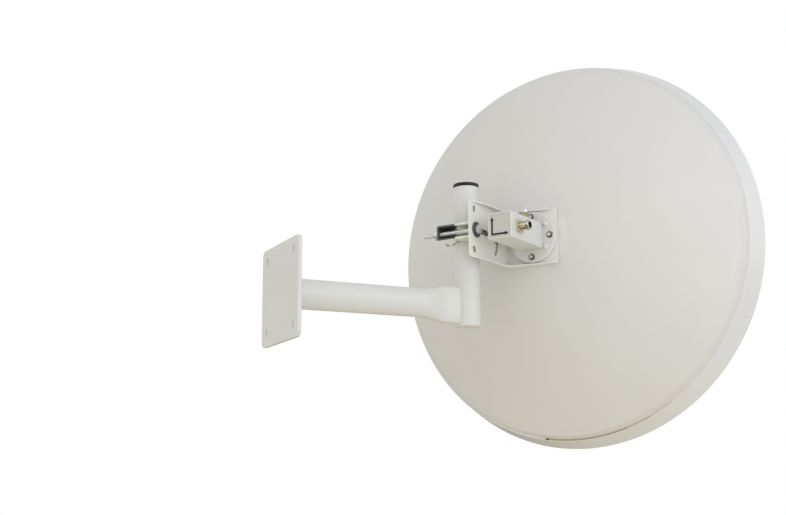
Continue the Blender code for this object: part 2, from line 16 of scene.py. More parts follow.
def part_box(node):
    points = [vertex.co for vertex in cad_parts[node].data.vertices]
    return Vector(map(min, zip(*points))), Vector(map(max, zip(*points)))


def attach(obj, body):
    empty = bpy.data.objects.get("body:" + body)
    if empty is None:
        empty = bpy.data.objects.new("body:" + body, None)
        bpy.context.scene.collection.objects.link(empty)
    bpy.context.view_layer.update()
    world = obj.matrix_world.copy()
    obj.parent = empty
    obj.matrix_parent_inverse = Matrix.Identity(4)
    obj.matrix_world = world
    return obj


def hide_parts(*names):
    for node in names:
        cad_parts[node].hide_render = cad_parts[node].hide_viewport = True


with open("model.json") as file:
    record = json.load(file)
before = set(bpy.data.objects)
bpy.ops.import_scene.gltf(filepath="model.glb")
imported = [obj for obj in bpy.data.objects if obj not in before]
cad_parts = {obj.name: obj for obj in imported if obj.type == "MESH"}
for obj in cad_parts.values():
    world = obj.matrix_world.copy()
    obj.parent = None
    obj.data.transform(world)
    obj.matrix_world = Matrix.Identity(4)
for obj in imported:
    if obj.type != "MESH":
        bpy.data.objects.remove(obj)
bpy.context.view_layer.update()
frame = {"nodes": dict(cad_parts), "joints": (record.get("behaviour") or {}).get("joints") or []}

# %% [markdown]
# ## Three frames to work in
# The wall arm lies along the part's own axes. The clamp swings about the mast, and at rest it stands
# turned, so its pieces are easier to draw along its own axes. The antenna is drawn about the dish axis.
# Both frames come from the joints and from the reflector's middle, so nothing is fitted by eye. A piece is
# drawn in such a frame and its points are then carried over, because a box that is measured round a
# turned object would come out too large.

# %% Frames of the clamp and the antenna
joints = {joint["name"]: joint for joint in frame["joints"]}
across = Vector(joints["tilt"]["axis"]).normalized()
up = Vector(joints["swing"]["axis"]).normalized()
ahead = up.cross(across)
clamp_axes = Matrix((across, ahead, up)).transposed().to_4x4()
clamp_frame = Matrix.Translation(joints["swing"]["pos_m"]) @ clamp_axes


def box_in(place, node):
    """Lowest and highest corner of a CAD node along the axes of a frame."""
    back = place.inverted()
    points = [back @ vertex.co for vertex in frame["nodes"][node].data.vertices]
    return (Vector([min(point[i] for point in points) for i in range(3)]),
            Vector([max(point[i] for point in points) for i in range(3)]))


low, high = box_in(clamp_frame, "reflector")
dish_axis = (low.x + high.x) / 2
pivot = clamp_frame.inverted() @ Vector(joints["tilt"]["pos_m"])
dish_frame = clamp_frame @ Matrix.Translation((dish_axis, pivot.y, pivot.z))
FRAMES = {"wall_mount": Matrix.Identity(4), "clamp": clamp_frame, "antenna": dish_frame}
print("dish axis from the mast in mm:", round(1000 * dish_axis, 1), round(1000 * pivot.y, 1))

# %% [markdown]
# ## The camera
# The photograph looks at the antenna from behind and a little below. Its place and its angles came from
# fitting the rim's ellipse and the bracket's corners. The antenna stands in the right half of the picture,
# so the camera keeps looking straight past it and the frame is shifted, as on a view camera.

# %% Camera
CAMERA_PLACE = (1.6796, -0.6202, -0.3165)
CAMERA_YAW = radians(-59.80)
CAMERA_PITCH = radians(11.63)
CAMERA_ROLL = radians(-1.18)
CAMERA_LENS = 55.30
CAMERA_SHIFT = -0.1196
CAMERA_SENSOR = 36.0


def add_object(name, data):
    """A new object, linked to the scene."""
    made = bpy.data.objects.new(name, data)
    bpy.context.scene.collection.objects.link(made)
    return made


look = Vector((sin(CAMERA_YAW) * cos(CAMERA_PITCH), cos(CAMERA_YAW) * cos(CAMERA_PITCH),
               sin(CAMERA_PITCH)))
level = Vector((cos(CAMERA_YAW), -sin(CAMERA_YAW), 0.0))
upright = level.cross(look)
right = cos(CAMERA_ROLL) * level + sin(CAMERA_ROLL) * upright
top = cos(CAMERA_ROLL) * upright - sin(CAMERA_ROLL) * level
camera_data = bpy.data.cameras.new("photo_camera")
camera_data.sensor_width = CAMERA_SENSOR
camera_data.lens = CAMERA_LENS
camera_data.shift_x = CAMERA_SHIFT
camera = add_object("photo_camera", camera_data)
camera.matrix_world = Matrix.Translation(CAMERA_PLACE) @ Matrix((right, top, -look)).transposed().to_4x4()
bpy.context.scene.camera = camera
print("camera looks along", [round(value, 3) for value in look])

# %% [markdown]
# ## Shader maths as Python
# A material is easier to read as a formula than as a list of nodes. The small class below wraps one
# socket, so that `1 - mask * 0.3` adds the Math nodes by itself. Numbers alone stay in Python. Every other
# node comes from one method, which sets the node's own settings first and then its sockets. The studio's
# sky is written with the same method.

# %% A socket that takes part in arithmetic
class Wire:
    """The output of a shader node. An expression on wires adds its Math nodes."""

    def __init__(self, nodes, socket):
        self.nodes = nodes
        self.socket = socket

    def maths(self, operation, left, right):
        return self.nodes.node("ShaderNodeMath", {"operation": operation}, {0: left, 1: right})

    def __add__(self, other):
        return self.maths("ADD", self, other)

    def __sub__(self, other):
        return self.maths("SUBTRACT", self, other)

    def __rsub__(self, other):
        return self.maths("SUBTRACT", other, self)

    def __mul__(self, other):
        return self.maths("MULTIPLY", self, other)

    def __gt__(self, other):
        return self.maths("GREATER_THAN", self, other)

    def __lt__(self, other):
        return self.maths("LESS_THAN", self, other)

    __radd__ = __add__
    __rmul__ = __mul__


class Nodes:
    """A node tree while it is written."""

    def __init__(self, tree):
        self.tree = tree

    def node(self, kind, settings=None, sockets=None, output=0):
        """Add a node, set its own settings, then its sockets, and return one output."""
        made = self.tree.nodes.new(kind)
        for key, value in (settings or {}).items():
            if key == "stops":
                self.stops(made.color_ramp, value)
            else:
                setattr(made, key, value)
        for key, value in (sockets or {}).items():
            self.feed(made.inputs[key], value)
        return Wire(self, made.outputs[output])

    def feed(self, socket, value):
        if isinstance(value, Wire):
            self.tree.links.new(value.socket, socket)
        elif isinstance(value, tuple) and socket.type == "RGBA":
            socket.default_value = (*value, 1.0)
        else:
            socket.default_value = value

    def stops(self, ramp, values):
        """Set a colour ramp. A stop is a position with a grey or with a colour."""
        while len(ramp.elements) < len(values):
            ramp.elements.new(0.5)
        for element, (position, tone) in zip(ramp.elements, values):
            element.position = position
            element.color = (*(tone if isinstance(tone, tuple) else (tone,) * 3), 1.0)


# %% A finish
class Finish(Nodes):
    """One material while it is written."""

    def __init__(self, name, **sockets):
        self.material = bpy.data.materials.new(name)
        self.material.use_nodes = True
        super().__init__(self.material.node_tree)
        self.shader = self.tree.nodes["Principled BSDF"]
        self.place = self.node("ShaderNodeTexCoord", output="Object")
        self.set(**sockets)

    def set(self, **sockets):
        """Set the shader's sockets by name, with underscores for spaces."""
        for key, value in sockets.items():
            self.feed(self.shader.inputs[key.replace("_", " ").title()], value)
        return self

    def noise(self, size, detail=2.0, stretch=None):
        """Noise whose lumps are about this size in metres, from 0 to 1."""
        place = self.place
        if stretch:
            place = self.node("ShaderNodeMapping", {},
                              {"Vector": place, "Rotation": REST_TURN, "Scale": stretch})
        return self.node("ShaderNodeTexNoise", {},
                         {"Vector": place, "Scale": 1.0 / size, "Detail": detail})

    def ramp(self, value, *stops):
        return self.node("ShaderNodeValToRGB", {"stops": stops}, {"Fac": value})

    def specks(self, spacing, radius, share):
        """A mask of round dots: one in a share of the cells that lie this far apart."""
        sockets = {"Vector": self.place, "Scale": 1.0 / spacing}
        distance = self.node("ShaderNodeTexVoronoi", {}, sockets, "Distance")
        colour = self.node("ShaderNodeTexVoronoi", {}, sockets, "Color")
        chance = self.node("ShaderNodeSeparateColor", {}, {"Color": colour})
        return (distance < radius / spacing) * (chance < share)

    def along(self, axis):
        """How far a point lies along an axis, in metres."""
        return self.node("ShaderNodeVectorMath", {"operation": "DOT_PRODUCT"},
                         {0: self.place, 1: tuple(axis)}, "Value")

    def within(self, low, high):
        """A mask of the points inside a box, whose corners are given in the dish's frame."""
        inside = 1.0
        for axis, start, end in zip((across, ahead, up), low, high):
            shift = dish_frame.translation.dot(axis)
            reach = self.along(axis)
            inside = (reach > start + shift) * (reach < end + shift) * inside
        return inside

    def mix(self, share, first, second):
        """Blend two colours."""
        return self.node("ShaderNodeMix", {"data_type": "RGBA"},
                         {"Factor": share, 6: first, 7: second}, output=2)

    def bump(self, height, depth, strength=1.0):
        """Tilt the shading as if the surface rose by this depth in metres where height is 1."""
        return self.node("ShaderNodeBump", {}, {"Height": height, "Distance": depth, "Strength": strength})


REST_TURN = (0.0, 0.0, -atan2(across.y, across.x))
print("clamp stands turned by", round(-degrees(REST_TURN[2]), 1), "degrees at rest")

# %% [markdown]
# ## Mesh helpers
# Nearly every piece is one of three things: a stack of rings, a flat plate cut to an outline, or a few of
# those joined. A stack of rings covers all that is turned on a lathe, and tubes and threads too, because
# the radius may depend on the angle. A flat plate is a 2D curve: its bevel rounds the cut edges evenly,
# also round holes, which a Bevel modifier on a Boolean often can't.

# %% Turn points into a clean piece
MM = 0.001
SMOOTH = radians(50)
MERGE = 0.002 * MM


def shade(piece):
    """Merge doubled points, face the surface outward and shade the round stretches smooth."""
    body = bmesh.new()
    body.from_mesh(piece.data)
    bmesh.ops.remove_doubles(body, verts=body.verts, dist=MERGE)
    bmesh.ops.recalc_face_normals(body, faces=body.faces)
    body.to_mesh(piece.data)
    body.free()
    piece.data.shade_smooth()
    piece.data.set_sharp_from_angle(angle=SMOOTH)
    return piece


def as_piece(name, points, faces):
    mesh = bpy.data.meshes.new(name)
    mesh.from_pydata([tuple(point) for point in points], [], faces)
    return shade(add_object(name, mesh))


def bake(piece):
    """Replace the mesh with what its modifiers make of it."""
    evaluated = piece.evaluated_get(bpy.context.evaluated_depsgraph_get())
    mesh = bpy.data.meshes.new_from_object(evaluated)
    piece.modifiers.clear()
    piece.data = mesh
    return piece


def join(piece, other, operation="UNION"):
    """Join, cut or intersect with another piece, which is used up."""
    step = piece.modifiers.new("Join", "BOOLEAN")
    step.operation = operation
    step.solver = "EXACT"
    step.object = other
    bake(piece)
    bpy.data.objects.remove(other)
    return shade(piece)


def move(piece, matrix):
    piece.data.transform(matrix)
    return piece


# %% Stacks of rings
def ring(radius, height, steps=96):
    """One ring about Z. Radius and height are numbers, or functions of the angle."""
    points = []
    for step in range(steps):
        angle = 2 * pi * step / steps
        reach = radius(angle) if callable(radius) else radius
        rise = height(angle) if callable(height) else height
        points.append((reach * cos(angle), reach * sin(angle), rise))
    return points


def skin(name, rings, loop=False):
    """A closed surface over rings of equal count. A loop joins the last ring to the first."""
    count = len(rings[0])
    points = [point for each in rings for point in each]
    faces = []
    for i in range(len(rings) if loop else len(rings) - 1):
        near, far = i * count, (i + 1) % len(rings) * count
        faces += [(near + k, near + (k + 1) % count, far + (k + 1) % count, far + k) for k in range(count)]
    if not loop:
        faces += [tuple(range(count)), tuple(range(len(points) - count, len(points)))]
    return as_piece(name, points, faces)


def lathe(name, profile, steps=96, loop=False):
    """Turn (radius, height) points about Z."""
    return skin(name, [ring(radius, height, steps) for radius, height in profile], loop)


def fillet(corners, radii, steps=5):
    """Round the inner corners of an open line of 2D points, each with its own radius."""
    points = [Vector(corners[0])]
    for before, corner, after, radius in zip(corners, corners[1:], corners[2:], radii):
        corner = Vector(corner)
        back = (Vector(before) - corner).normalized()
        on = (Vector(after) - corner).normalized()
        half = back.angle(on) / 2
        reach = radius / tan(half)
        start, end = corner + back * reach, corner + on * reach
        centre = corner + (back + on).normalized() * radius / sin(half)
        turn = (start - centre).angle_signed(end - centre) if radius else 0.0
        for step in range(steps + 1 if radius else 1):
            swing = -turn * step / steps
            spoke = start - centre
            points.append(centre + Vector((spoke.x * cos(swing) - spoke.y * sin(swing),
                                           spoke.x * sin(swing) + spoke.y * cos(swing))))
    points.append(Vector(corners[-1]))
    return [tuple(point) for point in points]


# %% Plates cut to an outline
def circle(radius, steps=48, centre=(0.0, 0.0)):
    return [(centre[0] + radius * cos(2 * pi * i / steps), centre[1] + radius * sin(2 * pi * i / steps))
            for i in range(steps)]


def rounded(low, high, radius, steps=8):
    """A rectangle with round corners. One radius for all, or four from the low corner round."""
    radii = radius if isinstance(radius, tuple) else (radius,) * 4
    corners = [(low[0], low[1]), (high[0], low[1]), (high[0], high[1]), (low[0], high[1])]
    signs = [(1, 1), (-1, 1), (-1, -1), (1, -1)]
    points = []
    for number, (corner, sign, reach) in enumerate(zip(corners, signs, radii)):
        if reach == 0.0:
            points.append(corner)
            continue
        x, y = corner[0] + sign[0] * reach, corner[1] + sign[1] * reach
        for step in range(steps + 1):
            angle = pi + (number + step / steps) * pi / 2
            points.append((x + reach * cos(angle), y + reach * sin(angle)))
    return points


def plate(name, loops, thickness, edge=0.3 * MM, rounds=2):
    """A plate in XY, centred on its thickness. Its cut edges are rounded by a quarter circle."""
    curve = bpy.data.curves.new(name, "CURVE")
    curve.dimensions = "2D"
    curve.fill_mode = "BOTH"
    curve.extrude = thickness / 2 - edge
    curve.bevel_depth = edge
    curve.bevel_resolution = rounds
    curve.offset = -edge
    for loop in loops:
        spline = curve.splines.new("POLY")
        spline.points.add(len(loop) - 1)
        for point, (x, y) in zip(spline.points, loop):
            point.co = (x, y, 0.0, 1.0)
        spline.use_cyclic_u = True
    drawn = add_object(name + "_drawn", curve)
    bpy.context.view_layer.update()
    mesh = bpy.data.meshes.new_from_object(drawn.evaluated_get(bpy.context.evaluated_depsgraph_get()))
    bpy.data.objects.remove(drawn)
    return shade(add_object(name, mesh))


# %% Put a piece in its place
ALONG_X = Matrix.Rotation(pi / 2, 4, "Y")
ALONG_Y = Matrix.Rotation(-pi / 2, 4, "X")
TO_YZ = Matrix(((0, 0, 1, 0), (1, 0, 0, 0), (0, 1, 0, 0), (0, 0, 0, 1)))
TO_XZ = Matrix(((1, 0, 0, 0), (0, 0, -1, 0), (0, 1, 0, 0), (0, 0, 0, 1)))


def at(x=0.0, y=0.0, z=0.0):
    return Matrix.Translation((x, y, z))


def place(piece, body, finish, slot, *nodes):
    """Carry a piece from its body's frame to the part's, paint it, and let it ride on the body."""
    even = piece.modifiers.new("Even", "WEIGHTED_NORMAL")
    even.keep_sharp = True
    bake(piece)
    move(piece, FRAMES[body])
    piece.data.materials.clear()
    piece.data.materials.append(finish.material)
    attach(piece, body)
    if nodes:
        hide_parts(*nodes)
    print(f"{piece.name}: {len(piece.data.polygons)} faces")
    return piece

# %% [markdown]
# ## Finishes
# The metal parts are powder coated in a warm off-white. Powder melts into a skin with fine dimples, so the
# coat is a plain colour, a faint cloudiness and a very shallow bump. The cone cover is moulded and glossy.
# The fasteners are zinc plated, the sockets brass and nickel. All are formulas over the part's own space,
# so no picture is needed and no seam shows. A few finishes also hold painted shade in one place: the cut
# walls of the bracket's slots are darkened as painted shade, and a painted shade line runs in the lowest
# part of the cover's seam. A box in the dish's frame is enough to mark such a place.

# %% Powder coat
CLOUD_SIZE = 160 * MM
CLOUD_TONE = 0.965
UNEVEN_GLOSS_SIZE = 24 * MM
DUST_SPACING = 38 * MM
DUST_RADIUS = 0.45 * MM
DUST_TONE = 0.45
DUST_COVER = 0.55


def scaled(colour, share):
    return tuple(channel * share for channel in colour)


def powder_coat(name, colour, roughness, peel=1.6 * MM, depth=0.012 * MM, dust=0.05, slots=None, **sockets):
    """A warm colour with faint clouds, fine dimples and a few specks of dust.

    Slots is a box in the dish's frame: the cut walls inside it get a dark colour as painted shade.
    """
    finish = Finish(name, **sockets)
    cloud = finish.ramp(finish.noise(CLOUD_SIZE, 3), (0.30, 0.0), (0.70, 1.0))
    clean = finish.mix(cloud, scaled(colour, CLOUD_TONE), colour)
    dusty = finish.specks(DUST_SPACING, DUST_RADIUS, dust)
    dimples = finish.noise(peel, 2)
    coated = finish.mix(dusty * DUST_COVER, clean, scaled(colour, DUST_TONE))
    if slots:
        # painted shade: the cut walls inside the box are darkened to stand in for the shade in the slots
        coated = finish.mix(finish.within(*slots), coated, SLOT_SHADE_COLOUR)
    return finish.set(base_color=coated,
                      roughness=roughness + 0.10 * (finish.noise(UNEVEN_GLOSS_SIZE) - 0.5),
                      normal=finish.bump(dimples, depth, 0.6))


DISH_WHITE = (0.689, 0.682, 0.665)
METAL_WHITE = (0.685, 0.690, 0.672)
# painted light: the bracket's white is a lighter copy of the metal white, to make up for the shade in its
# corners
LIFTED_SHEET_WHITE = (0.772, 0.772, 0.730)
# painted shade: the dark colour of the slots' cut walls
SLOT_SHADE_COLOUR = (0.20, 0.185, 0.14)
SLOT_MARGIN = 4 * MM
low, high = box_in(dish_frame, "bracket")
# The box holds the clamp plate's slots, whose cut walls get the painted shade.
SLOT_SHADE_BOX = ((low.x + 0.3 * MM, low.y + SLOT_MARGIN, low.z + SLOT_MARGIN),
              (low.x + 2.7 * MM, high.y - 1.5 * SLOT_MARGIN, high.z - SLOT_MARGIN))

dish_paint = powder_coat("dish_paint", DISH_WHITE, 0.46, dust=0.03)
metal_paint = powder_coat("metal_paint", METAL_WHITE, 0.46, peel=1.1 * MM, dust=0.02, coat_weight=0.12,
                          coat_roughness=0.25)
sheet_paint = powder_coat("sheet_paint", LIFTED_SHEET_WHITE, 0.44, peel=1.1 * MM, dust=0.02, slots=SLOT_SHADE_BOX,
                          coat_weight=0.12, coat_roughness=0.25)
weld_paint = powder_coat("weld_paint", METAL_WHITE, 0.42, peel=0.7 * MM, depth=0.02 * MM, dust=0.0)
print("box of the slots' walls in mm:", [round(1000 * (end - start), 1) for start, end in zip(*SLOT_SHADE_BOX)])

# %% Moulded plastic
SHELL_WHITE = (0.716, 0.719, 0.725)
FLOW_SIZE = 220 * MM
FLOW_TONE = 0.975
WAVE_SIZE = 120 * MM
PORE_SIZE = 1.5 * MM
GRIT_BROWN = (0.25, 0.23, 0.20)
GRIT_SPACING = 55 * MM
GRIT_RADIUS = 0.5 * MM
# painted shade: an olive line along the lowest part of the cover's back edge, standing in for the shade in
# the seam
SEAM_SHADE_OLIVE = (0.38, 0.35, 0.25)
SEAM_SHADE_RUNS = ((0.3, -56 * MM, 180 * MM), (0.3, -52 * MM, 140 * MM), (0.4, -49 * MM, 100 * MM))
SEAM_SHADE_DEPTH = 0.25 * MM

radome_gloss = Finish("radome_gloss", coat_weight=0.15, coat_roughness=0.10)
flow = radome_gloss.ramp(radome_gloss.noise(FLOW_SIZE, 2), (0.3, 0.0), (0.7, 1.0))
moulded = radome_gloss.mix(flow, scaled(SHELL_WHITE, FLOW_TONE), SHELL_WHITE)
grit = radome_gloss.specks(GRIT_SPACING, GRIT_RADIUS, 0.06)
waves = radome_gloss.noise(WAVE_SIZE, 1) + 0.06 * radome_gloss.noise(PORE_SIZE)
low, high = box_in(dish_frame, "radome")
# The painted shade line in the seam is built from three overlapping runs.
seam_shade = 0.0
for share, start, end in SEAM_SHADE_RUNS:
    run = radome_gloss.within((start, low.y - MM, low.z - MM), (end, low.y + SEAM_SHADE_DEPTH, 0.0))
    seam_shade = seam_shade + share * run
moulded = radome_gloss.mix(seam_shade, moulded, SEAM_SHADE_OLIVE)
radome_gloss.set(base_color=radome_gloss.mix(grit * 0.6, moulded, GRIT_BROWN),
                 roughness=0.28 + 0.06 * radome_gloss.noise(30 * MM),
                 normal=radome_gloss.bump(waves, 0.05 * MM, 0.5))

cap_plastic = Finish("cap_plastic")
cap_grain = cap_plastic.noise(0.5 * MM, 3)
cap_black = cap_plastic.mix(cap_plastic.noise(12 * MM), (0.006, 0.006, 0.006), (0.012, 0.012, 0.011))
cap_plastic.set(base_color=cap_black, roughness=0.42 + 0.16 * cap_grain,
                normal=cap_plastic.bump(cap_grain, 0.02 * MM, 0.5))
print("cover's back edge in the dish's frame, in mm:", round(1000 * low.y, 1))

# %% Plated finishes
# painted shade: the dark grey of the inner jaw's back face
JAW_BACK_SHADE = (0.20, 0.21, 0.18)
SCRATCH_WIDTH = 0.35 * MM
SCRATCH_STRETCH = (1.0, 0.05, 1.0)


def plated(name, colour, roughness, dull=0.75, base_metal=1.0, shade_beyond=None):
    """Plating: cloudy tone, uneven gloss and hair-fine scratches along one way.

    The last argument is a place along the clamp's bolts in metres: beyond it the colour turns to a dark
    grey, as painted shade.
    """
    finish = Finish(name, metallic=base_metal)
    tone = finish.ramp(finish.noise(5 * MM, 3), (0.30, 0.0), (0.72, 1.0))
    hair = finish.noise(SCRATCH_WIDTH, 2, stretch=SCRATCH_STRETCH)
    base = finish.mix(tone, scaled(colour, dull), colour)
    # painted shade: past this place the colour is a dark grey, standing in for the shade on the inner jaw's
    # back behind the cross slot
    if shade_beyond is not None:
        base = finish.mix(finish.along(across) > shade_beyond, base, JAW_BACK_SHADE)
    uneven = 0.16 * (finish.noise(3 * MM, 2) - 0.5) + 0.08 * (hair - 0.5)
    return finish.set(base_color=base, roughness=roughness + uneven,
                      normal=finish.bump(hair, 0.006 * MM, 0.6))


# JAW_FACE is where the painted shade on the inner jaw's back face begins.
JAW_FACE = clamp_frame.translation.dot(across) + box_in(clamp_frame, "inner_jaw")[1].x - 0.3 * MM
zinc_plate = plated("zinc_plate", (0.87, 0.87, 0.84), 0.30, dull=0.84, base_metal=0.68)
dark_zinc = plated("dark_zinc", (0.20, 0.23, 0.21), 0.38, dull=0.6)
pale_zinc = plated("pale_zinc", (0.84, 0.87, 0.76), 0.42, dull=0.92, base_metal=0.1, shade_beyond=JAW_FACE)
brass = plated("brass", (0.78, 0.70, 0.48), 0.20, dull=0.75)
bronze = plated("bronze", (0.30, 0.25, 0.14), 0.30, dull=0.6)
nickel = plated("nickel", (0.80, 0.78, 0.73), 0.20, dull=0.85)
print("inner jaw is rubbed from", round(1000 * JAW_FACE, 1), "mm along the bolts")

# %% [markdown]
# The outer jaw is coated black-green over its plating. The coat is rubbed thin on the edges, and its
# underside gets a pale painted reflection in patches. Both could be painted by hand on a mask, but a
# formula
# follows the shape by itself: the Geometry node's Pointiness finds the edges, and a test on the height
# finds the underside.

# %% Coat of the outer jaw
JAW_GREEN = (0.034, 0.058, 0.052)
JAW_GREEN_LIGHT = (0.052, 0.082, 0.074)
JAW_EDGE_GREY = (0.30, 0.33, 0.30)
# painted reflection: a pale colour for the jaw's underside, standing in for the glossy coat's reflection of
# the light from below
JAW_UNDERSIDE_REFLECTION = (0.95, 0.96, 0.88)
# JAW_FOOT is the height below which the painted reflection lies.
JAW_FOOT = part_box("outer_jaw")[0].z + 0.5 * MM

dark_coat = Finish("dark_coat", coat_weight=1.0, coat_roughness=0.10, metallic=0.0)
pointiness = dark_coat.node("ShaderNodeNewGeometry", output="Pointiness")
edges = dark_coat.ramp(pointiness, (0.55, 0.0), (0.64, 1.0))
rubbed = edges * dark_coat.ramp(dark_coat.noise(2.5 * MM, 3), (0.42, 0.0), (0.62, 1.0))
dark_tone = dark_coat.mix(dark_coat.noise(6 * MM, 3), JAW_GREEN, JAW_GREEN_LIGHT)
# painted reflection: patches of pale colour on the underside
reflection_patches = dark_coat.ramp(dark_coat.noise(9 * MM, 2), (0.25, 0.8), (0.60, 1.0))
dark_tone = dark_coat.mix((dark_coat.along(up) < JAW_FOOT) * reflection_patches, dark_tone, JAW_UNDERSIDE_REFLECTION)
dark_coat.set(base_color=dark_coat.mix(rubbed * 0.6, dark_tone, JAW_EDGE_GREY),
              roughness=0.34 + 0.18 * dark_coat.noise(4 * MM),
              normal=dark_coat.bump(dark_coat.noise(0.8 * MM), 0.02 * MM, 0.5))
print("outer jaw is bare up to", round(1000 * JAW_FOOT, 1), "mm")

# %% Label and its print
label_foil = Finish("label_foil", metallic=0.3)
brushed = label_foil.noise(0.30 * MM, 2, stretch=(0.04, 1.0, 1.0))
label_foil.set(base_color=label_foil.mix(brushed, (0.55, 0.53, 0.485), (0.64, 0.62, 0.57)),
               roughness=0.38 + 0.12 * brushed, normal=label_foil.bump(brushed, 0.004 * MM, 0.5))

ink = Finish("ink", roughness=0.5)
ink.set(base_color=ink.mix(ink.noise(2 * MM, 3), (0.010, 0.010, 0.010), (0.022, 0.021, 0.019)))

print("finishes:", [material.name for material in bpy.data.materials])

# %% [markdown]
# ## Wall plate, arm and mast
# The mount is a welded steel set: a square plate for four wall bolts, a round arm, and an upright mast.
# The arm's outer end is pressed to an upright oval with flat sides, which meets the mast along a long
# saddle seam. It could be a tube cut by a Boolean, but its last ring can be placed on the mast by a
# formula, which gives clean quads. The seam on the mast is ground nearly flush. The one at the wall
# plate keeps the small ripples of a hand weld.

# %% Wall plate
WALL_HOLE_RADIUS = 5.5 * MM
WALL_HOLE_SPREAD = 110 * MM
WALL_PLATE_CORNER = 10 * MM
WALL_PLATE_EDGE = 0.9 * MM

low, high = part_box("wall_plate")
spread = WALL_HOLE_SPREAD / 2
outline = rounded((low.x, low.z), (high.x, high.z), WALL_PLATE_CORNER)
holes = [circle(WALL_HOLE_RADIUS, 40, (x, z)) for x in (-spread, spread) for z in (-spread, spread)]
wall_sheet = plate("wall_sheet", [outline] + holes, high.y - low.y, WALL_PLATE_EDGE, 3)
move(wall_sheet, at(y=(low.y + high.y) / 2) @ ALONG_Y)
place(wall_sheet, "wall_mount", metal_paint, "white_paint", "wall_plate")
PLATE_FACE = high.y

# %% The arm
ARM_RADIUS = 23 * MM
PRESSED_HALF_WIDTH = 10.5 * MM
PRESSED_HALF_HEIGHT = 30 * MM
PRESSED_SQUARENESS = 0.4
PRESSED_LENGTH = 40 * MM
TAPER_LENGTH = 45 * MM
TUBE_WALL = 2.5 * MM
MAST_RADIUS = 20.5 * MM
SEAT_GAP = 0.3 * MM
ARM_EDGE = 0.6 * MM
ARM_POINTS = 96
TAPER_RINGS = 18

arm_low, arm_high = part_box("mast_arm")
mast_low, mast_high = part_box("mast")
MAST_REACH = (mast_low.y + mast_high.y) / 2


def arm_ring(y, inset, saddle=0.0, steps=ARM_POINTS):
    """A ring of the arm. The saddle share bends it on to the mast's round side."""
    share = min(max((y - MAST_REACH + PRESSED_LENGTH + TAPER_LENGTH) / TAPER_LENGTH, 0.0), 1.0)
    share = share * share * (3 - 2 * share)
    wide = ARM_RADIUS + share * (PRESSED_HALF_WIDTH - ARM_RADIUS) - inset
    high = ARM_RADIUS + share * (PRESSED_HALF_HEIGHT - ARM_RADIUS) - inset
    power = 1 - PRESSED_SQUARENESS * share
    points = []
    for step in range(steps):
        angle = 2 * pi * step / steps
        x = wide * abs(cos(angle)) ** power * (1 if cos(angle) > 0 else -1)
        z = high * abs(sin(angle)) ** power * (1 if sin(angle) > 0 else -1)
        seam = MAST_REACH - sqrt(max((MAST_RADIUS + SEAT_GAP) ** 2 - x * x, 0.0))
        points.append((x, y + saddle * (seam - y), z))
    return points


arm_end = arm_high.y
stations = [arm_low.y + ARM_EDGE, arm_low.y + 60 * MM]
stations += [MAST_REACH - PRESSED_LENGTH - TAPER_LENGTH * (1 - number / TAPER_RINGS)
             for number in range(TAPER_RINGS + 1)]
stations.append(arm_end - 12 * MM)
outer = [arm_ring(arm_low.y, ARM_EDGE)] + [arm_ring(y, 0.0) for y in stations]
outer.append(arm_ring(arm_end, 0.0, 1.0))
inner = [arm_ring(arm_end, TUBE_WALL, 1.0)] + [arm_ring(y, TUBE_WALL) for y in reversed(stations)]
inner.append(arm_ring(arm_low.y, TUBE_WALL))
arm = skin("wall_arm", outer + inner, loop=True)
place(arm, "wall_mount", metal_paint, "white_paint", "mast_arm")

# %% Weld beads
WELD_RIPPLE = 3.2 * MM
ROPE_POINTS = 10


def bead(name, path, radius, ripple):
    """A rope of weld metal along a closed path, which swells by a share once each ripple."""
    count = len(path)
    centre = sum((Vector(point) for point in path), Vector()) / count
    turns = [2 * pi * i / ROPE_POINTS for i in range(ROPE_POINTS)]
    rings = []
    travelled = 0.0
    for number in range(count):
        point, after = Vector(path[number]), Vector(path[(number + 1) % count])
        way = (after - Vector(path[number - 1])).normalized()
        lift = way.cross(point - centre).normalized()
        side = lift.cross(way)
        size = radius * (1 + ripple * sin(2 * pi * travelled / WELD_RIPPLE))
        rings.append([point + size * (cos(turn) * side + sin(turn) * lift) for turn in turns])
        travelled += (after - point).length
    return skin(name, rings, loop=True)


MAST_BEAD_RADIUS = 1.1 * MM
MAST_BEAD_SINK = 0.3 * MM
FOOT_BEAD_RADIUS = 2.3 * MM
FOOT_BEAD_LIFT = 0.7 * MM
FOOT_BEAD_SPREAD = 0.6 * MM
BEAD_POINTS = 280
saddle_path = arm_ring(arm_end, MAST_BEAD_SINK, 1.0, BEAD_POINTS)
mast_bead = move(bead("mast_weld_bead", saddle_path, MAST_BEAD_RADIUS, 0.02), at(y=-MAST_BEAD_SINK))
place(mast_bead, "wall_mount", metal_paint, "white_paint")
foot_circle = circle(ARM_RADIUS + FOOT_BEAD_SPREAD, BEAD_POINTS)
foot_path = [(x, PLATE_FACE + FOOT_BEAD_LIFT, z) for x, z in foot_circle]
place(bead("arm_foot_bead", foot_path, FOOT_BEAD_RADIUS, 0.10), "wall_mount", weld_paint, "white_paint")

# %% Mast, cap and foot plug
def on_mast(piece, finish, slot, node):
    """Stand a turned piece on the mast's axis."""
    return place(move(piece, at(y=MAST_REACH)), "wall_mount", finish, slot, node)


MAST_EDGE = 0.6 * MM
mast_inner = MAST_RADIUS - TUBE_WALL
mast_profile = fillet([(mast_inner, mast_low.z), (MAST_RADIUS, mast_low.z), (MAST_RADIUS, mast_high.z),
                       (mast_inner, mast_high.z)], [MAST_EDGE] * 2, 4)
on_mast(lathe("mast_tube", mast_profile, 128, loop=True), metal_paint, "white_paint", "mast")

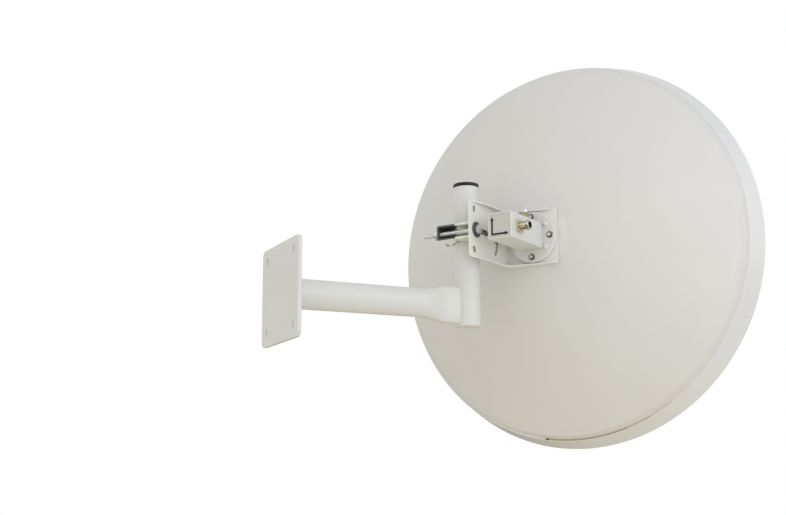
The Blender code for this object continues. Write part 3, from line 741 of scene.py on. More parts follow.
CAP_DIMPLE = 0.5 * MM
low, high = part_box("mast_cap")
cap_radius = (high.x - low.x) / 2
cap_seat = mast_high.z + SEAT_GAP
spigot = mast_inner - SEAT_GAP
cap_corners = [(0.0, high.z), (cap_radius * 0.55, high.z), (cap_radius * 0.62, high.z - CAP_DIMPLE),
               (cap_radius * 0.72, high.z - CAP_DIMPLE), (cap_radius * 0.78, high.z),
               (cap_radius, high.z - 0.6 * MM), (cap_radius, cap_seat), (spigot, cap_seat),
               (spigot, low.z + 1.5 * MM), (spigot - 1.5 * MM, low.z), (0.0, low.z)]
cap_radii = [radius * MM for radius in (0.4, 0.3, 0.3, 0.6, 1.3, 0.4, 0.2, 0.5, 0.5)]
on_mast(lathe("mast_end_cap", fillet(cap_corners, cap_radii, 5), 96), cap_plastic, "black_plastic",
        "mast_cap")

PLUG_DIMPLE = 0.5 * MM
low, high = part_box("mast_foot_plug")
plug_corners = [(0.0, high.z), (spigot, high.z), (spigot, low.z), (spigot - 2.2 * MM, low.z),
                (spigot - 2.8 * MM, low.z + PLUG_DIMPLE), (0.0, low.z + PLUG_DIMPLE)]
plug_radii = [radius * MM for radius in (0.8, 0.5, 0.3, 0.3)]
on_mast(lathe("foot_plug", fillet(plug_corners, plug_radii, 4), 96), metal_paint, "white_paint",
        "mast_foot_plug")

# %% [markdown]
# ## The clamp
# Two pressed channels face each other with the mast between them. Each flange has a V notch whose edges
# are cut into teeth that bite the tube. Two long M8 bolts draw the channels together. The near bolt also
# holds the bracket and is its tilt axis. A channel is made as its two toothed flanges and its back, which
# are cut as plates, joined, and then trimmed by a box with round edges that gives the folds.

# %% Toothed flanges
BOLT_SPACING = 67 * MM
BOLT_HOLE = 4.5 * MM
JAW_WALL = 3 * MM
FOLD_RADIUS = 3.2 * MM
NOTCH_FLOOR = 23.5 * MM
TOOTH_PITCH = 3.5 * MM
TOOTH_DEPTH = 1.2 * MM
JAW_EDGE = 0.25 * MM
TRIM_REACH = 20 * MM


def saw(start, end, inward):
    """Saw teeth along a line, with a narrow flat on each tip."""
    line = Vector(end) - Vector(start)
    count = int(line.length / TOOTH_PITCH)
    points = []
    for number in range(count):
        for share, depth in ((0.0, 0.0), (0.10, 0.0), (0.5, 1.0), (0.62, 1.0)):
            points.append(Vector(start) + line * (number + share) / count
                          + Vector(inward) * TOOTH_DEPTH * depth)
    return [tuple(point) for point in points] + [tuple(end)]


def folded_trim(name, low, high, radius, edges):
    """A box whose chosen long edges are rounded. Edges are given by the two axes and sides they touch."""
    body = bmesh.new()
    middle = (Vector(low) + Vector(high)) / 2
    size = Vector(high) - Vector(low)
    bmesh.ops.create_cube(body, size=1.0, matrix=Matrix.Translation(middle) @ Matrix.Diagonal((*size, 1.0)))
    chosen = []
    for edge in body.edges:
        centre = (edge.verts[0].co + edge.verts[1].co) / 2 - middle
        touched = [axis for axis in range(3) if abs(centre[axis]) > size[axis] / 4]
        sides = {axis: (1 if centre[axis] > 0 else -1) for axis in touched}
        if any(all(sides.get(axis) == side for axis, side in wanted) for wanted in edges):
            chosen.append(edge)
    bmesh.ops.bevel(body, geom=chosen, offset=radius, segments=6, profile=0.5, affect="EDGES")
    mesh = bpy.data.meshes.new(name)
    body.to_mesh(mesh)
    body.free()
    return shade(add_object(name, mesh))


def jaw(name, node, back, split, finish, slot):
    """A channel from its back to the split line, both X places in the clamp's frame."""
    low, high = box_in(clamp_frame, node)
    side = 1.0 if back > split else -1.0
    seat = (MAST_RADIUS + SEAT_GAP) * sqrt(2.0)
    floor = side * NOTCH_FLOOR
    floor_half = seat - NOTCH_FLOOR
    mouth_half = seat - side * split
    slant = sqrt(0.5)
    outline = [(back, low.y), (split, low.y)]
    outline += saw((split, -mouth_half), (floor, -floor_half), (side * slant, -slant))
    outline += saw((floor, floor_half), (split, mouth_half), (side * slant, slant))
    outline += [(split, high.y), (back, high.y)]
    channel = None
    for z in (low.z + JAW_WALL / 2, high.z - JAW_WALL / 2):
        flange = move(plate(name, [outline], JAW_WALL, JAW_EDGE, 1), at(z=z))
        channel = join(channel, flange) if channel else flange
    holes = [circle(BOLT_HOLE, 32, (y, 0.0)) for y in (-BOLT_SPACING / 2, BOLT_SPACING / 2)]
    outline = rounded((low.y, low.z), (high.y, high.z), 0.0)
    web = plate(name + "_web", [outline] + holes, JAW_WALL, JAW_EDGE, 1)
    join(channel, move(web, at(x=back - side * JAW_WALL / 2) @ TO_YZ))
    trim_low = (back if side < 0 else low.x - TRIM_REACH, low.y - TRIM_REACH, low.z)
    trim_high = (back if side > 0 else high.x + TRIM_REACH, high.y + TRIM_REACH, high.z)
    folds = [((0, side), (2, 1)), ((0, side), (2, -1))]
    join(channel, folded_trim(name + "_trim", trim_low, trim_high, FOLD_RADIUS, folds), "INTERSECT")
    channel.name = name
    return place(channel, "clamp", finish, slot, node)


outer_low, outer_high = box_in(clamp_frame, "outer_jaw")
inner_low, inner_high = box_in(clamp_frame, "inner_jaw")
jaw("outer_channel", "outer_jaw", outer_low.x, outer_high.x, dark_coat, "dark_jaw")
jaw("inner_channel", "inner_jaw", inner_high.x, inner_low.x, pale_zinc, "pale_jaw")

# %% [markdown]
# ## Bolts, nuts and washers
# A hexagon nut is a prism whose corners are turned off at 30 degrees, which leaves six curved scallops on
# each face. As a stack of rings it needs no Boolean: the radius follows the hexagon and the height follows
# the cone. A thread is a ring stack too. Its radius rises and falls with the height, shifted by the angle.
# The near bolt's wide washer is the dark one.

# %% Screw shapes
HEX_FLATS = 13 * MM
HEX_HEIGHT = 6.3 * MM
HEX_CHAMFER = radians(30)
BOLT_RADIUS = 4 * MM
BOLT_PITCH = 1.25 * MM
BOLT_THREAD_DEPTH = 0.65 * MM
THREAD_LENGTH = 36 * MM
CROWN = 0.95
SCREW_STEPS = 72


def hexagon(flats):
    """Radius of a hexagon at an angle."""
    return lambda angle: flats / 2 / cos((angle + pi / 6) % (pi / 3) - pi / 6)


def hexagon_end(flats, height, side):
    """Height of the hexagon's edge where a cone has turned off its corners.

    The cone leaves a round flat whose width is a share, the crown, of the width across flats.
    """
    shape = hexagon(flats)
    flat = CROWN * flats / 2
    return lambda angle: height - side * (shape(angle) - flat) * tan(HEX_CHAMFER)


def nut_profile(flats, height, bore, lead_in=0.6 * MM):
    flat = CROWN * flats / 2
    shape = hexagon(flats)
    return [(bore, lead_in), (bore + lead_in, 0.0), (flat, 0.0), (shape, hexagon_end(flats, 0.0, -1)),
            (shape, hexagon_end(flats, height, 1)), (flat, height), (bore + lead_in, height),
            (bore, height - lead_in)]


def thread_profile(radius, pitch, depth, start, end, per_turn=8):
    """Radii and heights of a thread along Z. It runs out softly at both ends."""
    count = int((end - start) / pitch * per_turn)
    profile = []
    for number in range(count + 1):
        height = start + (end - start) * number / count
        fade = min(min(number, count - number) / per_turn, 1.0)

        def reach(angle, height=height, fade=fade):
            turn = (height / pitch - angle / (2 * pi)) % 1.0
            cut = min(max(abs(2 * turn - 1) * 1.3 - 0.15, 0.0), 1.0)
            return radius - depth * fade * cut

        profile.append((reach, height))
    return profile


def bolt_profile(length):
    """A hexagon head whose slightly domed face is at 0, a plain shank, and a thread up to the tip."""
    shape = hexagon(HEX_FLATS)
    flat = CROWN * HEX_FLATS / 2
    collar = HEX_HEIGHT - 0.4 * MM
    tip = HEX_HEIGHT + length
    head = [(0.0, 0.0), (1.5 * MM, 0.07 * MM), (3.0 * MM, 0.3 * MM), (4.5 * MM, 0.7 * MM),
            (flat, 1.2 * MM), (shape, hexagon_end(HEX_FLATS, 1.2 * MM, -1)), (shape, collar),
            (flat, collar), (flat, HEX_HEIGHT), (BOLT_RADIUS + 0.5 * MM, HEX_HEIGHT),
            (BOLT_RADIUS, HEX_HEIGHT + 0.5 * MM)]
    thread = thread_profile(BOLT_RADIUS, BOLT_PITCH, BOLT_THREAD_DEPTH, tip - THREAD_LENGTH, tip - 1.0 * MM)
    point = [(BOLT_RADIUS - 0.1 * MM, tip - 0.9 * MM), (BOLT_RADIUS - 1.0 * MM, tip), (0.0, tip)]
    return head + thread + point


# %% Clamp bolts with their nuts and washers
WASHER_HOLE = 4.5 * MM
WASHER_EDGE = 0.3 * MM
HEAD_SPIN = Matrix.Rotation(radians(12), 4, "Z")
NUT_SPIN = {"near": radians(20), "far": radians(41)}


def washer(name, node, finish):
    low, high = box_in(clamp_frame, node)
    outside = (high.z - low.z) / 2
    thick = high.x - low.x
    profile = fillet([(WASHER_HOLE, thick / 2), (WASHER_HOLE, 0.0), (outside, 0.0), (outside, thick),
                      (WASHER_HOLE, thick), (WASHER_HOLE, thick / 2)], [WASHER_EDGE] * 4, 3)[:-1]
    disc = lathe(name, profile, SCREW_STEPS, loop=True)
    middle = (low.y + high.y) / 2
    return place(move(disc, at(low.x, middle) @ ALONG_X), "clamp", finish, "zinc", node)


for end in ("near", "far"):
    low, high = box_in(clamp_frame, end + "_clamp_bolt")
    middle = (low.y + high.y) / 2
    bolt = lathe(end + "_long_bolt", bolt_profile(high.x - low.x - HEX_HEIGHT), SCREW_STEPS)
    where = at(high.x, middle) @ Matrix.Rotation(-pi / 2, 4, "Y") @ HEAD_SPIN
    place(move(bolt, where), "clamp", zinc_plate, "zinc", end + "_clamp_bolt")

    low, high = box_in(clamp_frame, end + "_clamp_nut")
    sides = nut_profile(HEX_FLATS, high.x - low.x, BOLT_RADIUS + 0.15 * MM)
    nut = lathe(end + "_hex_nut", sides, SCREW_STEPS, loop=True)
    where = at(low.x, middle) @ ALONG_X @ Matrix.Rotation(NUT_SPIN[end], 4, "Z")
    place(move(nut, where), "clamp", zinc_plate, "zinc", end + "_clamp_nut")
    washer(end + "_head_washer", end + "_bolt_washer", dark_zinc if end == "near" else zinc_plate)
    washer(end + "_back_washer", end + "_nut_washer", zinc_plate)

# %% [markdown]
# ## The folded bracket
# One sheet makes the clamp plate and the dish plate behind the flange, and a narrow web above and below
# keeps the corner stiff. Its cut edges catch the light as thin bright lines, so they need a true rounding.
# Each face is cut as a plate with rounded edges. Plates that end in one plane leave faces on which a
# Boolean can fail, so each plate stands a hair further out than the last, and a box with round edges
# then trims them all to size, which gives the folds as well.

# %% Slots of the clamp plate
SHEET = 3 * MM
WEB_SHEET = 2.5 * MM
WEB_START = 6 * MM
WEB_SIDE_WIDTH = 7.5 * MM
WEB_RUN_OUT = 42 * MM
WEB_CORNER_WIDTH = 14.5 * MM
WEB_INNER_CORNER = 4 * MM
WEB_CURVE_STEPS = 24
WEB_LAP = 0.5 * MM
PLATE_CORNER = 6 * MM
DISH_PLATE_CORNER = 2.5 * MM
ARC_SLOT_HALF_ANGLE = radians(24.5)
CROSS_SLOT_LENGTH = 34 * MM
SPARE_SLOT_AT = (-6.5 * MM, 33 * MM)
SPARE_SLOT_HALF_WIDTH = 4.25 * MM
SPARE_SLOT_HALF_LENGTH = 1.2 * MM
BRACKET_FOLD = 3.5 * MM
CUT_EDGE = 0.5 * MM
HAIR = 0.05 * MM


def arc_slot(centre, radius, start, end, half_width, steps=24, rounds=8):
    """A slot with round ends whose middle line is an arc."""
    def on_arc(distance, angle):
        return (centre[0] + distance * cos(angle), centre[1] + distance * sin(angle))

    def round_end(angle, first):
        middle = on_arc(radius, angle)
        return [(middle[0] + half_width * cos(first + pi * i / rounds),
                 middle[1] + half_width * sin(first + pi * i / rounds)) for i in range(1, rounds)]

    angles = [start + (end - start) * i / steps for i in range(steps + 1)]
    far = [on_arc(radius + half_width, angle) for angle in angles]
    near = [on_arc(radius - half_width, angle) for angle in reversed(angles)]
    return far + round_end(end, end) + near + round_end(start, start + pi)


def straight_slot(start, end, half_width, rounds=8):
    """A slot along X with round ends."""
    right = [(end + half_width * cos(pi * (i / rounds - 0.5)), half_width * sin(pi * (i / rounds - 0.5)))
             for i in range(rounds + 1)]
    left = [(start - half_width * cos(pi * (i / rounds - 0.5)), -half_width * sin(pi * (i / rounds - 0.5)))
            for i in range(rounds + 1)]
    return right + left


# %% Bracket
low, high = box_in(dish_frame, "bracket")
spare_y, spare_z = SPARE_SLOT_AT
spare_reach = sqrt((BOLT_SPACING - spare_y) ** 2 + spare_z ** 2)
spare_half = SPARE_SLOT_HALF_LENGTH / spare_reach
slots = [arc_slot((0.0, 0.0), BOLT_SPACING, -ARC_SLOT_HALF_ANGLE, ARC_SLOT_HALF_ANGLE, BOLT_HOLE),
         straight_slot(0.0, CROSS_SLOT_LENGTH, BOLT_HOLE)]
for sign in (1, -1):
    middle = pi + sign * asin(spare_z / spare_reach)
    slots.append(arc_slot((BOLT_SPACING, 0.0), spare_reach, middle - spare_half, middle + spare_half,
                          SPARE_SLOT_HALF_WIDTH, 6))
outline = rounded((low.y, low.z - HAIR), (high.y - 4 * HAIR, high.z + HAIR),
                  (PLATE_CORNER, 0.0, 0.0, PLATE_CORNER))
bracket = plate("folded_bracket", [outline] + slots, SHEET + HAIR, CUT_EDGE)
move(bracket, at(x=low.x + (SHEET - HAIR) / 2) @ TO_YZ)
outline = rounded((low.x + 4 * HAIR, low.z - 3 * HAIR), (high.x, high.z + 3 * HAIR),
                  (0.0, DISH_PLATE_CORNER, DISH_PLATE_CORNER, 0.0))
dish_plate = plate("dish_plate", [outline], SHEET + HAIR, CUT_EDGE)
join(bracket, move(dish_plate, at(y=high.y - (SHEET - HAIR) / 2) @ TO_XZ))

start = Vector((low.x + SHEET, low.y + WEB_START))
full = start + Vector((WEB_SIDE_WIDTH, WEB_RUN_OUT))
bend = start + Vector((WEB_SIDE_WIDTH, WEB_RUN_OUT / 2))
end = Vector((high.x - 12 * HAIR, high.y - SHEET))
line = []
for number in range(WEB_CURVE_STEPS + 1):
    t = number / WEB_CURVE_STEPS
    line.append(tuple(start * (1 - t) ** 2 + bend * 2 * t * (1 - t) + full * t ** 2))
line += [(full.x, end.y - WEB_CORNER_WIDTH), (end.x, end.y - HAIR)]
web = [(low.x + WEB_LAP, start.y)] + fillet(line, [0.0] * WEB_CURVE_STEPS + [WEB_INNER_CORNER], 8)
web += [(end.x, high.y - WEB_LAP), (low.x + WEB_LAP, high.y - WEB_LAP)]
for z in (low.z + WEB_SHEET / 2 - HAIR, high.z - WEB_SHEET / 2 + HAIR):
    join(bracket, move(plate("web", [web], WEB_SHEET + 2 * HAIR, CUT_EDGE), at(z=z)))
folds = [((0, -1), (1, 1)), ((0, -1), (2, 1)), ((0, -1), (2, -1)), ((1, 1), (2, 1)), ((1, 1), (2, -1))]
trim = folded_trim("bracket_trim", (low.x, low.y - TRIM_REACH, low.z),
                   (high.x + TRIM_REACH, high.y, high.z), BRACKET_FOLD, folds)
join(bracket, trim, "INTERSECT")
place(bracket, "antenna", sheet_paint, "white_paint", "bracket")

# %% [markdown]
# ## The feed
# A round flange is bolted to the dish plate, with a square cast box standing on it. The flange and the
# dark cup washers under its screws are turned. The box is a stack of rounded squares along the dish
# axis, so that its cover's groove and the raised border round the label are only more rings. Four cast
# lugs stand at its foot.

# %% Flange and its screws
FLANGE_EDGE = 2.6 * MM
SCREW_FLATS = 5.4 * MM
SCREW_FOOT = 0.5 * MM
SCREW_SPIN = radians(17)
CUP_HOLE = 2.6 * MM
CUP_FLOOR = 0.8 * MM

low, high = box_in(dish_frame, "feed_flange")
flange_radius = (high.x - low.x) / 2
thick = high.y - low.y
flange_profile = fillet([(0.0, 0.0), (flange_radius - 0.2 * MM, 0.0), (flange_radius, thick - 1.2 * MM),
                         (flange_radius, thick), (0.0, thick)],
                        [FLANGE_EDGE, 1.0 * MM, 0.4 * MM], 8)
flange = lathe("feed_flange_disc", flange_profile, 160)
place(move(flange, at(y=low.y) @ ALONG_Y), "antenna", metal_paint, "white_paint", "feed_flange")
FLANGE_BACK = low.y

for number in range(4):
    node = f"flange_bolt_{number + 1}"
    low, high = box_in(dish_frame, node)
    centre = (low + high) / 2
    height = high.y - low.y
    base = (high.x - low.x) / 2
    where = at(centre.x, high.y, centre.z) @ ALONG_Y.inverted()
    where = where @ Matrix.Rotation(SCREW_SPIN * number, 4, "Z")
    shape = hexagon(SCREW_FLATS)
    head = [(0.0, SCREW_FOOT), (shape, SCREW_FOOT), (shape, hexagon_end(SCREW_FLATS, height, 1)),
            (CROWN * SCREW_FLATS / 2, height), (0.0, height)]
    screw = lathe(f"flange_screw_{number + 1}", head, SCREW_STEPS)
    place(move(screw, where), "antenna", zinc_plate, "zinc", node)
    cup = fillet([(CUP_HOLE, 0.0), (base, 0.0), (base, 1.6 * MM), (base - 1.0 * MM, 2.0 * MM),
                  (CUP_HOLE + 0.7 * MM, CUP_FLOOR), (CUP_HOLE, CUP_FLOOR)],
                 [0.2 * MM, 0.4 * MM, 0.3 * MM, 0.2 * MM], 4)
    cup_washer = lathe(f"flange_cup_washer_{number + 1}", cup, SCREW_STEPS, loop=True)
    place(move(cup_washer, where), "antenna", bronze, "zinc")

# %% Feed box with its lugs
BOX_CORNER = 1.2 * MM
COVER_LINE = 5.0 * MM
GROOVE = 0.35 * MM
BORDER_WIDTH = 2.6 * MM
BORDER_HEIGHT = 1.2 * MM

box_low, box_high = box_in(dish_frame, "feed_box")
box_side = box_high.x - box_low.x


def box_ring(y, inset):
    half = box_side / 2 - inset
    corner = max(BOX_CORNER - inset, 0.6 * MM)
    return [(x, y, z) for x, z in rounded((-half, -half), (half, half), corner, 6)]


back = box_low.y
crest = back - BORDER_HEIGHT
cover = back + COVER_LINE
sections = [(box_high.y, 0.8 * MM), (box_high.y - 0.3 * MM, 0.3 * MM), (box_high.y - 0.8 * MM, 0.0),
            (cover + 0.5 * MM, 0.0), (cover + 0.3 * MM, 0.1 * MM), (cover + 0.25 * MM, GROOVE),
            (cover - 0.25 * MM, GROOVE), (cover - 0.3 * MM, 0.1 * MM), (cover - 0.5 * MM, 0.0),
            (crest + 1.2 * MM, 0.0), (crest + 0.55 * MM, 0.12 * MM), (crest + 0.15 * MM, 0.5 * MM),
            (crest, 1.0 * MM), (crest, BORDER_WIDTH - 0.6 * MM),
            (crest + 0.25 * MM, BORDER_WIDTH - 0.1 * MM), (crest + 0.6 * MM, BORDER_WIDTH),
            (back - 0.1 * MM, BORDER_WIDTH)]
feed_box = skin("feed_box_casting", [box_ring(y, inset) for y, inset in sections])
place(feed_box, "antenna", metal_paint, "white_paint", "feed_box")

LUG_AT = (26.0 * MM, 19.0 * MM)
LUG_RADIUS = 3.6 * MM
LUG_HEIGHT = 5.0 * MM
LUG_FOOT = LUG_RADIUS + 1.6 * MM
LUG_SINK = 0.2 * MM
lug_profile = [(0.0, -LUG_SINK), (LUG_FOOT, -LUG_SINK)]
lug_profile += fillet([(LUG_FOOT, 0.0), (LUG_RADIUS, 1.2 * MM), (LUG_RADIUS - 0.4 * MM, LUG_HEIGHT),
                       (0.0, LUG_HEIGHT)], [1.5 * MM, 2.0 * MM], 6)
for number, (x, z) in enumerate(((1, 1), (-1, 1), (-1, -1), (1, -1))):
    lug = lathe(f"foot_lug_{number + 1}", lug_profile, 48)
    where = at(x * LUG_AT[0], FLANGE_BACK, z * LUG_AT[1]) @ ALONG_Y.inverted()
    place(move(lug, where), "antenna", metal_paint, "white_paint")

# %% [markdown]
# ## The label
# A square of brushed foil sits inside the border. Two plain arrows that meet in a corner show which way
# the feed is turned. They are printed, so they are a very thin plate of their own with an ink finish. The
# rest of the foil is left bare.

# %% Label and arrows
LABEL_CORNER = 1.4 * MM
LABEL_EDGE = 0.15 * MM
ARROW_CORNER = (-13.4 * MM, -14.0 * MM)
ARROW_TIPS = (16.0 * MM, 14.5 * MM)
ARROW_STROKE = 3.2 * MM
ARROW_HEAD = (6.6 * MM, 6.4 * MM)
INK_THICKNESS = 0.12 * MM

low, high = box_in(dish_frame, "box_label")
outline = rounded((low.x, low.z), (high.x, high.z), LABEL_CORNER)
label = plate("box_foil_label", [outline], high.y - low.y, LABEL_EDGE)
place(move(label, at(y=(low.y + high.y) / 2) @ TO_XZ), "antenna", label_foil, "label", "box_label")

half = ARROW_STROKE / 2
wing = ARROW_HEAD[0] / 2
x, z = ARROW_CORNER
right_neck = ARROW_TIPS[0] - ARROW_HEAD[1]
top_neck = ARROW_TIPS[1] - ARROW_HEAD[1]
arrows = [(x - half, z - half), (right_neck, z - half), (right_neck, z - wing), (ARROW_TIPS[0], z),
          (right_neck, z + wing), (right_neck, z + half), (x + half, z + half), (x + half, top_neck),
          (x + wing, top_neck), (x, ARROW_TIPS[1]), (x - wing, top_neck), (x - half, top_neck)]
printed = plate("label_arrows", [arrows], INK_THICKNESS, 0.02 * MM, 0)
place(move(printed, at(y=low.y - INK_THICKNESS / 2) @ TO_XZ), "antenna", ink, "label")

# %% [markdown]
# ## The two coaxial sockets
# Each socket is a square plate with four small screws, a threaded brass barrel, and a wider nickel ring
# at its mouth round a liner and a brass pin. The liner and the insulator are black as painted shade for
# the dark bore. They are drawn along Z from the box's face, once, and put on the side and on the top.

# %% Lines of a socket
SOCKET_FOOT_HALF = 9.5 * MM
SOCKET_FOOT_CORNER = 2 * MM
SOCKET_FOOT_EDGE = 0.35 * MM
SOCKET_FOOT = 2.5 * MM
SOCKET_RING_RADIUS = 8.4 * MM
SOCKET_RING_LENGTH = 4 * MM
BARREL_RADIUS = 7.0 * MM
BARREL_NECK = 6.4 * MM
SOCKET_BORE = 4.8 * MM
SOCKET_BORE_DEPTH = 9 * MM
SOCKET_LENGTH = 19 * MM
SOCKET_PITCH = 0.9 * MM
SOCKET_THREAD_DEPTH = 0.32 * MM
SOCKET_STEPS = 96
STEP_SLOPE = 0.5 * MM
LINER_WALL = 0.7 * MM
SMALL_SCREW_AT = 6.9 * MM
PIN_RADIUS = 1.5 * MM
PIN_HOLE = 0.7 * MM

ring_foot = SOCKET_LENGTH - SOCKET_RING_LENGTH
bore_floor = SOCKET_LENGTH - SOCKET_BORE_DEPTH
sleeve = SOCKET_BORE + LINER_WALL

barrel = [(0.0, SOCKET_FOOT + 0.3 * MM), (BARREL_RADIUS, SOCKET_FOOT + 0.3 * MM),
          (BARREL_RADIUS, SOCKET_FOOT + 1.4 * MM), (BARREL_RADIUS - 0.3 * MM, SOCKET_FOOT + 1.7 * MM),
          (BARREL_NECK, SOCKET_FOOT + 1.9 * MM), (BARREL_NECK, SOCKET_FOOT + 2.7 * MM)]
barrel += thread_profile(BARREL_RADIUS, SOCKET_PITCH, SOCKET_THREAD_DEPTH, SOCKET_FOOT + 3.0 * MM,
                         ring_foot - STEP_SLOPE - 0.3 * MM)
barrel += [(BARREL_RADIUS - 0.1 * MM, ring_foot - STEP_SLOPE - 0.2 * MM),
           (BARREL_RADIUS - 0.1 * MM, ring_foot - 0.2 * MM), (sleeve, ring_foot - 0.2 * MM),
           (sleeve, bore_floor), (0.0, bore_floor)]
collar = fillet([(sleeve, ring_foot - STEP_SLOPE), (BARREL_RADIUS, ring_foot - STEP_SLOPE),
                 (SOCKET_RING_RADIUS, ring_foot), (SOCKET_RING_RADIUS, SOCKET_LENGTH),
                 (sleeve, SOCKET_LENGTH)], [0.1 * MM, 0.3 * MM, 0.7 * MM], 5)
# The liner and the insulator are black as painted shade for the dark bore.
liner = fillet([(SOCKET_BORE, bore_floor), (sleeve - 0.02 * MM, bore_floor),
                (sleeve - 0.02 * MM, SOCKET_LENGTH - 0.3 * MM), (SOCKET_BORE, SOCKET_LENGTH - 0.3 * MM)],
               [0.1 * MM, 0.2 * MM], 3)
insulator = [(0.0, bore_floor), (SOCKET_BORE - 0.05 * MM, bore_floor),
             (SOCKET_BORE - 0.05 * MM, bore_floor + 2.4 * MM),
             (PIN_RADIUS + 0.6 * MM, bore_floor + 2.4 * MM),
             (PIN_RADIUS + 0.5 * MM, bore_floor + 3.2 * MM), (0.0, bore_floor + 3.2 * MM)]
pin = fillet([(0.0, bore_floor + 3.0 * MM), (PIN_RADIUS, bore_floor + 3.0 * MM),
              (PIN_RADIUS, SOCKET_LENGTH - 2.2 * MM), (PIN_HOLE + 0.1 * MM, SOCKET_LENGTH - 2.2 * MM),
              (PIN_HOLE, SOCKET_LENGTH - 4.0 * MM), (0.0, SOCKET_LENGTH - 4.0 * MM)],
             [0.1 * MM, 0.3 * MM, 0.1 * MM, 0.1 * MM], 3)
small_head = [(0.0, 0.0)]
small_head += fillet([(1.75 * MM, 0.0), (1.75 * MM, 0.55 * MM), (1.1 * MM, 1.3 * MM), (0.75 * MM, 1.3 * MM),
                      (0.6 * MM, 0.7 * MM), (0.0, 0.7 * MM)], [0.1 * MM, 0.5 * MM, 0.1 * MM, 0.05 * MM], 3)
print("socket barrel:", len(barrel), "rings,", round(1000 * SOCKET_LENGTH), "mm long")

# %% Sockets
def socket(side, where):
    """One socket along Z, with its foot at 0."""
    def put(piece, finish, *nodes):
        return place(move(piece, where), "antenna", finish, "nickel", *nodes)

    half = SOCKET_FOOT_HALF
    outline = rounded((-half, -half), (half, half), SOCKET_FOOT_CORNER)
    flat = plate(side + "_socket_foot", [outline], SOCKET_FOOT, SOCKET_FOOT_EDGE)
    put(move(flat, at(z=SOCKET_FOOT / 2)), brass, side + "_socket_plate")
    for number in range(4):
        x, y = SMALL_SCREW_AT * (-1) ** (number // 2), SMALL_SCREW_AT * (-1) ** (number % 2)
        screw = lathe(f"{side}_socket_screw_{number + 1}", small_head, 32)
        put(move(screw, at(x, y, SOCKET_FOOT)), zinc_plate)
    put(lathe(side + "_threaded_barrel", barrel, SOCKET_STEPS), brass, side + "_socket")
    put(lathe(side + "_mouth_ring", collar, SOCKET_STEPS, loop=True), nickel)
    # painted shade: the liner and the insulator take the black finish to stand in for the shade in the bore
    put(lathe(side + "_bore_liner", liner, SOCKET_STEPS, loop=True), cap_plastic)
    put(lathe(side + "_insulator", insulator, 64), cap_plastic)
    put(lathe(side + "_centre_pin", pin, 40), brass)


low, high = box_in(dish_frame, "side_socket_plate")
socket("side", at(low.x, (low.y + high.y) / 2) @ ALONG_X)
low, high = box_in(dish_frame, "top_socket_plate")
socket("top", at(y=(low.y + high.y) / 2, z=low.z))

# %% [markdown]
# ## Reflector and radome
# The bowl is spun from sheet metal: a flat hub, a paraboloid, and a rim that turns up into the cover's
# skirt. The cover is a shallow cone with a rolled edge and a deep skirt. At the skirt's back edge a small
# lip leans inward to the rim and closes the dark seam between the two. Both are turned from a profile of
# few corners with true fillets, with enough steps that the outline stays round in a close view.

# %% Reflector
DISH_STEPS = 288
BOWL_WALL = 2 * MM
BOWL_RINGS = 60
HUB_RADIUS = 48 * MM
HUB_BLEND = 14 * MM
HUB_LEAD = 3 * MM
HUB_RINGS = 12
RIM_RADIUS = 318 * MM
RIM_DEPTH = 63 * MM
RIM_ROUND = 6 * MM
RIM_FLARE_LENGTH = 20 * MM
SKIRT_DEPTH = 45 * MM
SKIRT_RADIUS = 328 * MM
LIP_RADIUS = 340 * MM
SKIRT_CORNER = 5 * MM
SHELL_WALL = 3 * MM

low, high = box_in(dish_frame, "radome")
lip_plane = low.y + SKIRT_DEPTH
skirt_back = low.y
tip_plane = high.y
low, high = box_in(dish_frame, "reflector")
hub_plane = low.y
rim_front = high.y


def skirt_inside(y):
    """Radius of the skirt's inner face at a place along the dish axis."""
    share = (y - skirt_back) / (SKIRT_DEPTH - SKIRT_CORNER)
    return SKIRT_RADIUS + share * (LIP_RADIUS - SKIRT_RADIUS) - SHELL_WALL


def inset(points, thickness):
    """The same line moved inward, square to itself."""
    moved = []
    for number, point in enumerate(points):
        before, after = points[max(number - 1, 0)], points[min(number + 1, len(points) - 1)]
        way = (Vector(after) - Vector(before)).normalized()
        moved.append((point[0] - way.y * thickness, point[1] + way.x * thickness))
    return moved


rim_plane = lip_plane - RIM_DEPTH
rise = (rim_plane - hub_plane) / RIM_RADIUS ** 2
first = HUB_RADIUS + HUB_BLEND
profile = [(0.0, hub_plane), (HUB_RADIUS - 2 * HUB_LEAD, hub_plane)]
for step in range(HUB_RINGS + 1):
    share = step / HUB_RINGS
    radius = HUB_RADIUS - HUB_LEAD + share * (HUB_BLEND + HUB_LEAD)
    soft = share * share * (3 - 2 * share)
    profile.append((radius, hub_plane + soft * rise * first ** 2 + share ** 3 * (share - 1) * 0.3 * MM))
for step in range(1, BOWL_RINGS + 1):
    radius = first + (RIM_RADIUS - RIM_ROUND - first) * step / BOWL_RINGS
    profile.append((radius, hub_plane + rise * radius ** 2))
flare = rim_plane + RIM_FLARE_LENGTH
profile += fillet([(RIM_RADIUS - RIM_ROUND / 2, rim_plane - 0.3 * MM),
                   (RIM_RADIUS + 1.6 * MM, rim_plane + 2 * MM), (skirt_inside(flare) - 0.4 * MM, flare),
                   (skirt_inside(rim_front) - SEAT_GAP, rim_front)], [4 * MM, 2 * MM], 6)
front_side = list(reversed(inset(profile, BOWL_WALL)))[:-1] + [(0.0, hub_plane + BOWL_WALL)]
bowl = lathe("reflector_bowl", profile + front_side, DISH_STEPS)
place(move(bowl, ALONG_Y), "antenna", dish_paint, "dish_paint", "reflector")

